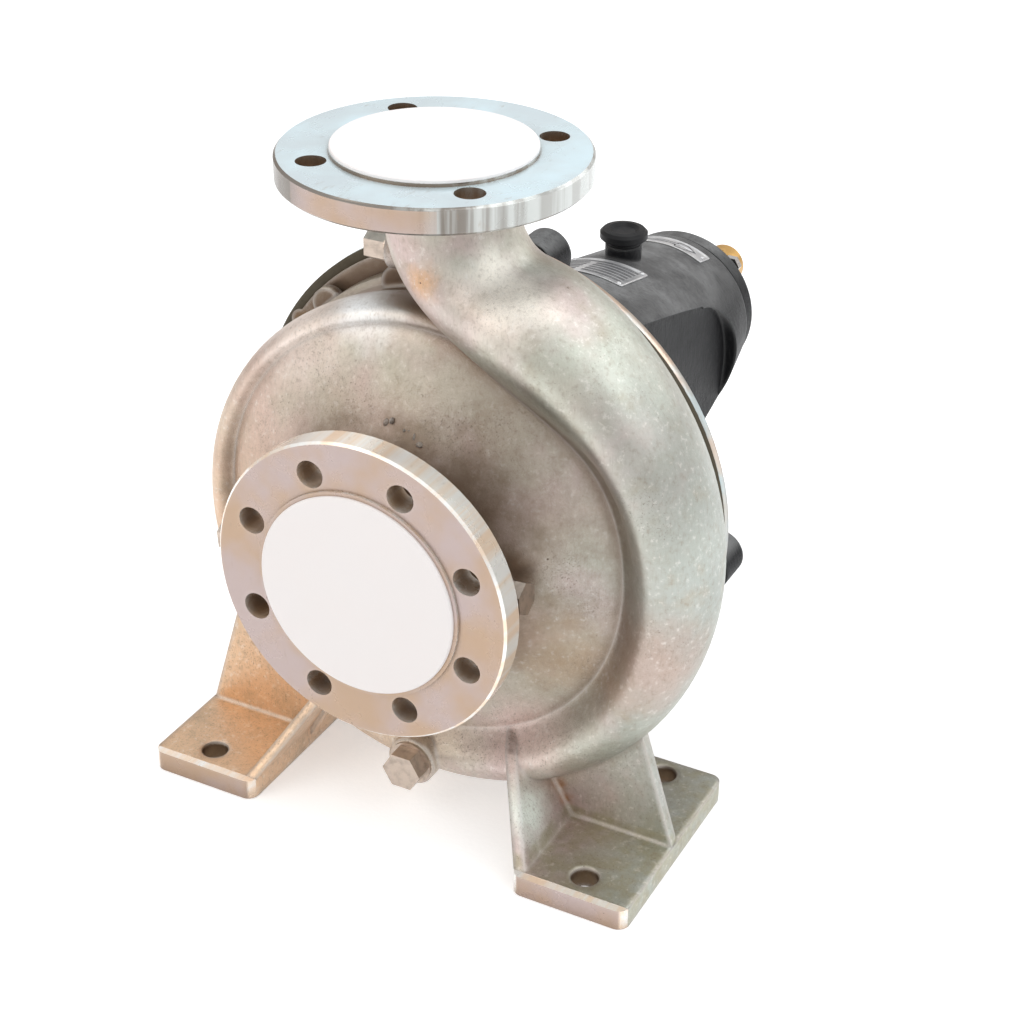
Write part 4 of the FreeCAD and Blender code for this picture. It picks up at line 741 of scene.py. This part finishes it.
class PUMP_OT_finishes(bpy.types.Operator):
    """Give every node of the pump its finish"""
    bl_idname = "pump.finishes"
    bl_label = "Finishes"

    def execute(self, context):
        by_slot = {"cast_stainless": cast_stainless("cast_stainless_finish"),
                   "machined_steel": machined("machined_steel_finish", (0.60, 0.585, 0.57)),
                   "plug_steel": machined("plug_steel_finish", (0.56, 0.47, 0.40), 0.36, 0.0016),
                   "bearing_steel": machined("bearing_steel_finish", (0.68, 0.67, 0.66), 0.16),
                   "shaft_steel": waxed_shaft("shaft_finish"),
                   "black_paint": bracket_paint("paint_finish"),
                   "cap_plastic": moulded("cap_plastic_finish", (0.016, 0.016, 0.017), 0.38),
                   "seal_carbon": moulded("seal_carbon_finish", (0.05, 0.05, 0.055), 0.35),
                   "seal_rubber": moulded("seal_rubber_finish", (0.02, 0.02, 0.02), 0.6),
                   "gasket": moulded("gasket_finish", (0.12, 0.10, 0.075), 0.8),
                   "sight_glass": sight_glass("sight_glass_finish"),
                   "cover_white": port_cover_board("port_cover_finish")}
        plain_casting = cast_stainless("cast_cover_finish", turned_places=False)
        special = {"casing_cover": plain_casting, "impeller": plain_casting}
        slots = {part["node"]: part["material_slot"] for part in frame["record"]["subparts"]}
        for name, thing in frame["nodes"].items():
            material = special.get(name, by_slot.get(slots.get(name)))
            if material is None:
                raise RuntimeError("no finish for node %s" % name)
            for place in thing.material_slots:
                place.material = material
        return {"FINISHED"}


class PUMP_OT_rating_plate(bpy.types.Operator):
    """Rivet the rating plate to the bracket, with empty data fields"""
    bl_idname = "pump.rating_plate"
    bl_label = "Rating plate"

    def execute(self, context):
        sizes = context.scene.pump_plates
        thick = sizes.plate_thickness
        angle, middle_y = math.radians(90.0), sizes.rating_y
        width, length = sizes.rating_width, sizes.rating_length
        profile = [(0.0, 0.0001), (0.0, thick), (0.0013, thick), (0.0017, thick * 0.6)]
        metal = plate_metal("plate_metal_finish")
        make_piece("rating_plate", plate_grid(width, length, angle, middle_y, profile), metal)
        fields = []
        pad = [(0.0, thick * 0.5), (0.0001, thick * 0.78), (0.0003, thick * 0.82)]
        field_rows, margin, field_gap = 6, 0.005, 0.0012
        step = (length - 2 * margin) / field_rows
        for row in range(field_rows):
            along = length / 2 - margin - step * (row + 0.5)
            start = -width * 0.44
            for share in (0.88,) if row == 0 else (0.30, 0.52):
                place = (start + width * share / 2, along)
                field_width = width * share - field_gap
                fields.append(plate_grid(field_width, step * 0.62, angle, middle_y, pad, 0.0005, place))
                start += width * (share + 0.06)
        join_grids("rating_plate_fields", fields, plate_print("plate_print_finish"))
        rivet_inset = 0.0034
        rivets = plate_rivets(width / 2 - rivet_inset, (-1, 1), length / 2 - rivet_inset, angle, middle_y)
        join_grids("rating_plate_rivets", rivets, metal)
        return {"FINISHED"}


class PUMP_OT_turning_plate(bpy.types.Operator):
    """Fix the curved turning direction plate behind the filler cap, with a raised arrow"""
    bl_idname = "pump.turning_plate"
    bl_label = "Turning plate"

    def execute(self, context):
        sizes = context.scene.pump_plates
        thick = sizes.plate_thickness
        angle, middle_y = math.radians(86.0), sizes.turning_y
        width, length = sizes.turning_width, sizes.turning_length
        profile = [(0.0, 0.0001), (0.0, thick), (0.0012, thick), (0.0015, thick * 0.6)]
        metal = bpy.data.materials["plate_metal_finish"]
        make_piece("turning_plate", plate_grid(width, length, angle, middle_y, profile), metal)
        ink = bpy.data.materials["plate_print_finish"]
        make_piece("turning_arrow", self.arrow(width, length, angle, middle_y, thick), ink)
        rivets = plate_rivets(width / 2 - 0.003, (0,), 0.0, angle, middle_y)
        join_grids("turning_plate_rivets", rivets, metal)
        return {"FINISHED"}

    def arrow(self, width, length, angle, middle_y, thick):
        """A plain arrow: its half height is a short straight shaft, then a head that narrows to a point."""
        along = np.linspace(-1, 1, 48)
        head = np.clip((1 - along) / 0.36, 0, 1)
        half = np.maximum(np.where(along > 0.28, head * length * 0.30, length * 0.10), 0.0002)
        rows = []
        for inset, lift in ((0.0, thick * 0.5), (0.0, thick * 0.85), (0.0003, thick * 0.9)):
            inside = np.maximum(half - inset, 0.0001)
            top = np.stack([along * width * 0.36, inside], -1)
            bottom = np.stack([along[::-1] * width * 0.36, -inside[::-1]], -1)
            rows.append(barrel_surface(np.vstack([bottom, top])[::-1], angle, middle_y, lift))
        return np.array(rows)


def plate_rivets(half_width, rows, half_length, angle, middle_y):
    """Rivet heads at both sides of a plate, one for each row."""
    sizes = bpy.context.scene.pump_plates
    rivets = []
    for across in (-1, 1):
        for row in rows:
            flat = np.array([across * half_width, row * half_length])
            centre = barrel_surface(flat, angle, middle_y, sizes.plate_thickness * 0.9)
            out = centre - np.array([0, centre[1], AXIS_HEIGHT])
            rivets.append(dome_grid(centre, out, sizes.rivet_radius, sizes.rivet_radius * 0.55))
    return rivets


class PUMP_OT_cover_rim(bpy.types.Operator):
    """Fit the turned rim band over the casing cover's edge, a little out of round"""
    bl_idname = "pump.cover_rim"
    bl_label = "Cover rim"

    def execute(self, context):
        rim = context.scene.pump_cover_rim
        outline = np.array([(rim.inner_radius, rim.width), (rim.radius - 0.0010, rim.width),
                            (rim.radius + 0.0002, rim.width - 0.0012), (rim.radius, 0.0016),
                            (rim.radius - 0.0022, 0.0), (rim.inner_radius, 0.0002)])
        radii, along = outline[:, :1], outline[:, 1:]
        turn = np.linspace(0, 2 * np.pi, 240, endpoint=False)
        reach = radii + np.where(radii > rim.inner_radius, rim.ripple * np.sin(turn - 0.4) ** 2, 0.0)
        band = np.stack([reach * np.cos(turn), rim.front_y + along + 0 * reach,
                         AXIS_HEIGHT + reach * np.sin(turn)], -1)
        material = cover_band("cover_band_finish", rim.front_y + rim.groove_shade_width)
        make_piece("cover_rim_band", band, material, ring=True)
        return {"FINISHED"}


class PUMP_OT_cast_marks(bpy.types.Operator):
    """Add the ragged row of casting lumps on the wall above the suction flange"""
    bl_idname = "pump.cast_marks"
    bl_label = "Cast marks"

    def execute(self, context):
        marks = context.scene.pump_cast_marks
        count = marks.wall_lump_count
        rng = np.random.default_rng(11)
        share = np.linspace(0, 1, count)[:, None]
        spread = rng.uniform(-0.0050, 0.0050, (count, 2))
        run = share * (0.024, 0.0, 0.0) + share ** 2 * (0.0, -0.0040, -0.0085)
        places = np.array((-0.007, -0.0372, 0.2862)) + run + np.insert(spread, 1, 0.0, axis=1)
        sizes = marks.wall_lump_size * rng.uniform(0.45, 1.0, count)
        shapes = rng.uniform(0.6, 1.6, (count, 3))
        grids = [lump_grid(place, size * shape, 7 + index)
                 for index, (place, size, shape) in enumerate(zip(places, sizes, shapes))]
        join_grids("wall_lumps", grids, bpy.data.materials["cast_stainless_finish"])
        return {"FINISHED"}


class PUMP_OT_stage(bpy.types.Operator):
    """Set the pale floor, the soft lamps, the world and the camera"""
    bl_idname = "pump.stage"
    bl_label = "Stage"

    def execute(self, context):
        self.floor(context)
        self.world(context)
        self.lamps(context)
        self.camera(context)
        context.scene.view_settings.view_transform = "Standard"
        return {"FINISHED"}

    def floor(self, context):
        """A flat square grid of points just under the feet."""
        size = context.scene.pump_stage.floor_size / 2
        columns = 5
        steps = np.linspace(-size, size, columns)
        x, y = np.meshgrid(steps, steps, indexing="ij")
        grid = np.stack([x, y, np.full_like(x, -0.0004)], -1)
        row, column = np.meshgrid(np.arange(columns - 1), np.arange(columns - 1), indexing="ij")
        faces = np.stack([row * columns + column, (row + 1) * columns + column,
                          (row + 1) * columns + column + 1, row * columns + column + 1], -1).reshape(-1, 4)
        mesh = bpy.data.meshes.new("floor")
        mesh.from_pydata(grid.reshape(-1, 3).tolist(), [], faces.tolist())
        finish = Finish("floor_finish")
        tone = finish.noise(0.6, 3.0)
        light = finish.node("ShaderNodeLightPath")
        seen = finish.maths("MAXIMUM", light.outputs["Is Camera Ray"], light.outputs["Is Glossy Ray"])
        finish.shade(Base_Color=finish.blend(tone, (0.90, 0.90, 0.90), (0.92, 0.92, 0.92)), Roughness=0.9,
                     Normal=finish.relief(finish.noise(0.004, 2.0), 0.0001))
        finish.put((1.0, 1.0, 1.0), finish.shader.inputs["Emission Color"])
        finish.put(finish.maths("MULTIPLY", seen, 0.42), finish.shader.inputs["Emission Strength"])
        mesh.materials.append(finish.material)
        thing = bpy.data.objects.new("floor", mesh)
        context.scene.collection.objects.link(thing)

    def world(self, context):
        """White to the camera and through glass; metal sees a pale room that darkens to a warm horizon."""
        world = bpy.data.worlds.new("studio")
        world.use_nodes = True
        context.scene.world = world
        tree = world.node_tree
        tree.nodes.clear()
        height = tree.nodes.new("ShaderNodeSeparateXYZ")
        tree.links.new(tree.nodes.new("ShaderNodeTexCoord").outputs["Generated"], height.inputs[0])
        room = tree.nodes.new("ShaderNodeValToRGB")
        room.color_ramp.interpolation = "EASE"
        low, high = room.color_ramp.elements
        low.position, low.color = 0.05, (0.50, 0.455, 0.42, 1)
        high.position, high.color = 0.72, (0.98, 0.99, 1.0, 1)
        tree.links.new(height.outputs["Z"], room.inputs["Fac"])
        light = self.background(tree, (0.97, 0.98, 1.0, 1), 0.72)
        mirror = self.background(tree, (1, 1, 1, 1), 1.0)
        tree.links.new(room.outputs["Color"], mirror.inputs["Color"])
        white = self.background(tree, (1, 1, 1, 1), 1.0)
        rays = tree.nodes.new("ShaderNodeLightPath").outputs
        seen = light.outputs[0]
        for ray, shown in (("Glossy", mirror), ("Camera", white), ("Transmission", white)):
            choice = tree.nodes.new("ShaderNodeMixShader")
            for source, socket in zip((rays["Is %s Ray" % ray], seen, shown.outputs[0]), choice.inputs):
                tree.links.new(source, socket)
            seen = choice.outputs[0]
        tree.links.new(seen, tree.nodes.new("ShaderNodeOutputWorld").inputs[0])

    def background(self, tree, colour, strength):
        made = tree.nodes.new("ShaderNodeBackground")
        made.inputs["Color"].default_value = colour
        made.inputs["Strength"].default_value = strength
        return made

    def lamps(self, context):
        """Large soft area lamps aimed at the pump: place, size, power and colour of each."""
        target = Vector((0.0, 0.08, 0.22))
        lamps = {"key": ((-1.1, -1.7, 1.6), 1.6, 14.0, (1.0, 0.94, 0.87)),
                 "fill": ((2.0, 0.1, 1.9), 1.5, 13.0, (0.93, 0.98, 1.0)),
                 "top": ((0.4, 0.3, 2.4), 1.6, 12.0, (1.0, 1.0, 1.0)),
                 "back": ((1.2, 2.0, 1.3), 1.2, 8.0, (0.97, 0.98, 1.0))}
        for name, (place, size, power, colour) in lamps.items():
            lamp = bpy.data.lights.new(name + "_lamp", "AREA")
            lamp.shape = "SQUARE"
            lamp.size = size
            lamp.energy = power
            lamp.color = colour
            thing = bpy.data.objects.new(name + "_lamp", lamp)
            thing.location = place
            thing.rotation_euler = (Vector(place) - target).to_track_quat("Z", "Y").to_euler()
            context.scene.collection.objects.link(thing)

    def camera(self, context):
        stage = context.scene.pump_stage
        lens = bpy.data.cameras.new("camera")
        lens.lens = stage.focal_length
        lens.sensor_width = 36.0
        lens.sensor_fit = "HORIZONTAL"
        lens.clip_end = 50.0
        thing = bpy.data.objects.new("camera", lens)
        az, el = stage.azimuth, stage.elevation
        back = Vector((math.cos(el) * math.sin(az), -math.cos(el) * math.cos(az), math.sin(el)))
        side = Vector((math.cos(az), math.sin(az), 0.0))
        up = back.cross(side)
        right = side * math.cos(stage.roll) + up * math.sin(stage.roll)
        above = back.cross(right)
        turn = Matrix((right, above, back)).transposed()
        thing.matrix_world = Matrix.Translation(Vector(stage.aim) + back * stage.distance) @ turn.to_4x4()
        context.scene.collection.objects.link(thing)
        context.scene.camera = thing


class PUMP_PT_dressing(bpy.types.Panel):
    """Lists the pump's pieces and their sizes"""
    bl_label = "Pump dressing"
    bl_idname = "PUMP_PT_dressing"
    bl_space_type = "VIEW_3D"
    bl_region_type = "UI"
    bl_category = "Pump"

    def draw(self, context):
        for group in property_groups:
            settings = getattr(context.scene, group)
            box = self.layout.box()
            for key in settings.bl_rna.properties.keys():
                if key not in ("rna_type", "name"):
                    box.prop(settings, key)
        for operator in pieces_in_order:
            self.layout.operator(operator.bl_idname)


property_groups = {"pump_finishes": PumpFinishes, "pump_plates": PumpPlates, "pump_cover_rim": PumpCoverRim,
                   "pump_cast_marks": PumpCastMarks, "pump_stage": PumpStage}
pieces_in_order = (PUMP_OT_stage, PUMP_OT_finishes, PUMP_OT_rating_plate, PUMP_OT_turning_plate,
                   PUMP_OT_cover_rim, PUMP_OT_cast_marks)


def register():
    for group in property_groups.values():
        bpy.utils.register_class(group)
    for key, group in property_groups.items():
        setattr(bpy.types.Scene, key, PointerProperty(type=group))
    for operator in pieces_in_order:
        bpy.utils.register_class(operator)
    bpy.utils.register_class(PUMP_PT_dressing)


def unregister():
    bpy.utils.unregister_class(PUMP_PT_dressing)
    for operator in reversed(pieces_in_order):
        bpy.utils.unregister_class(operator)
    for key in property_groups:
        delattr(bpy.types.Scene, key)
    for group in reversed(list(property_groups.values())):
        bpy.utils.unregister_class(group)


def main():
    register()
    bpy.ops.pump.stage()
    bpy.ops.pump.finishes()
    bpy.ops.pump.rating_plate()
    bpy.ops.pump.turning_plate()
    bpy.ops.pump.cover_rim()
    bpy.ops.pump.cast_marks()


if __name__ == "__main__":
    main()
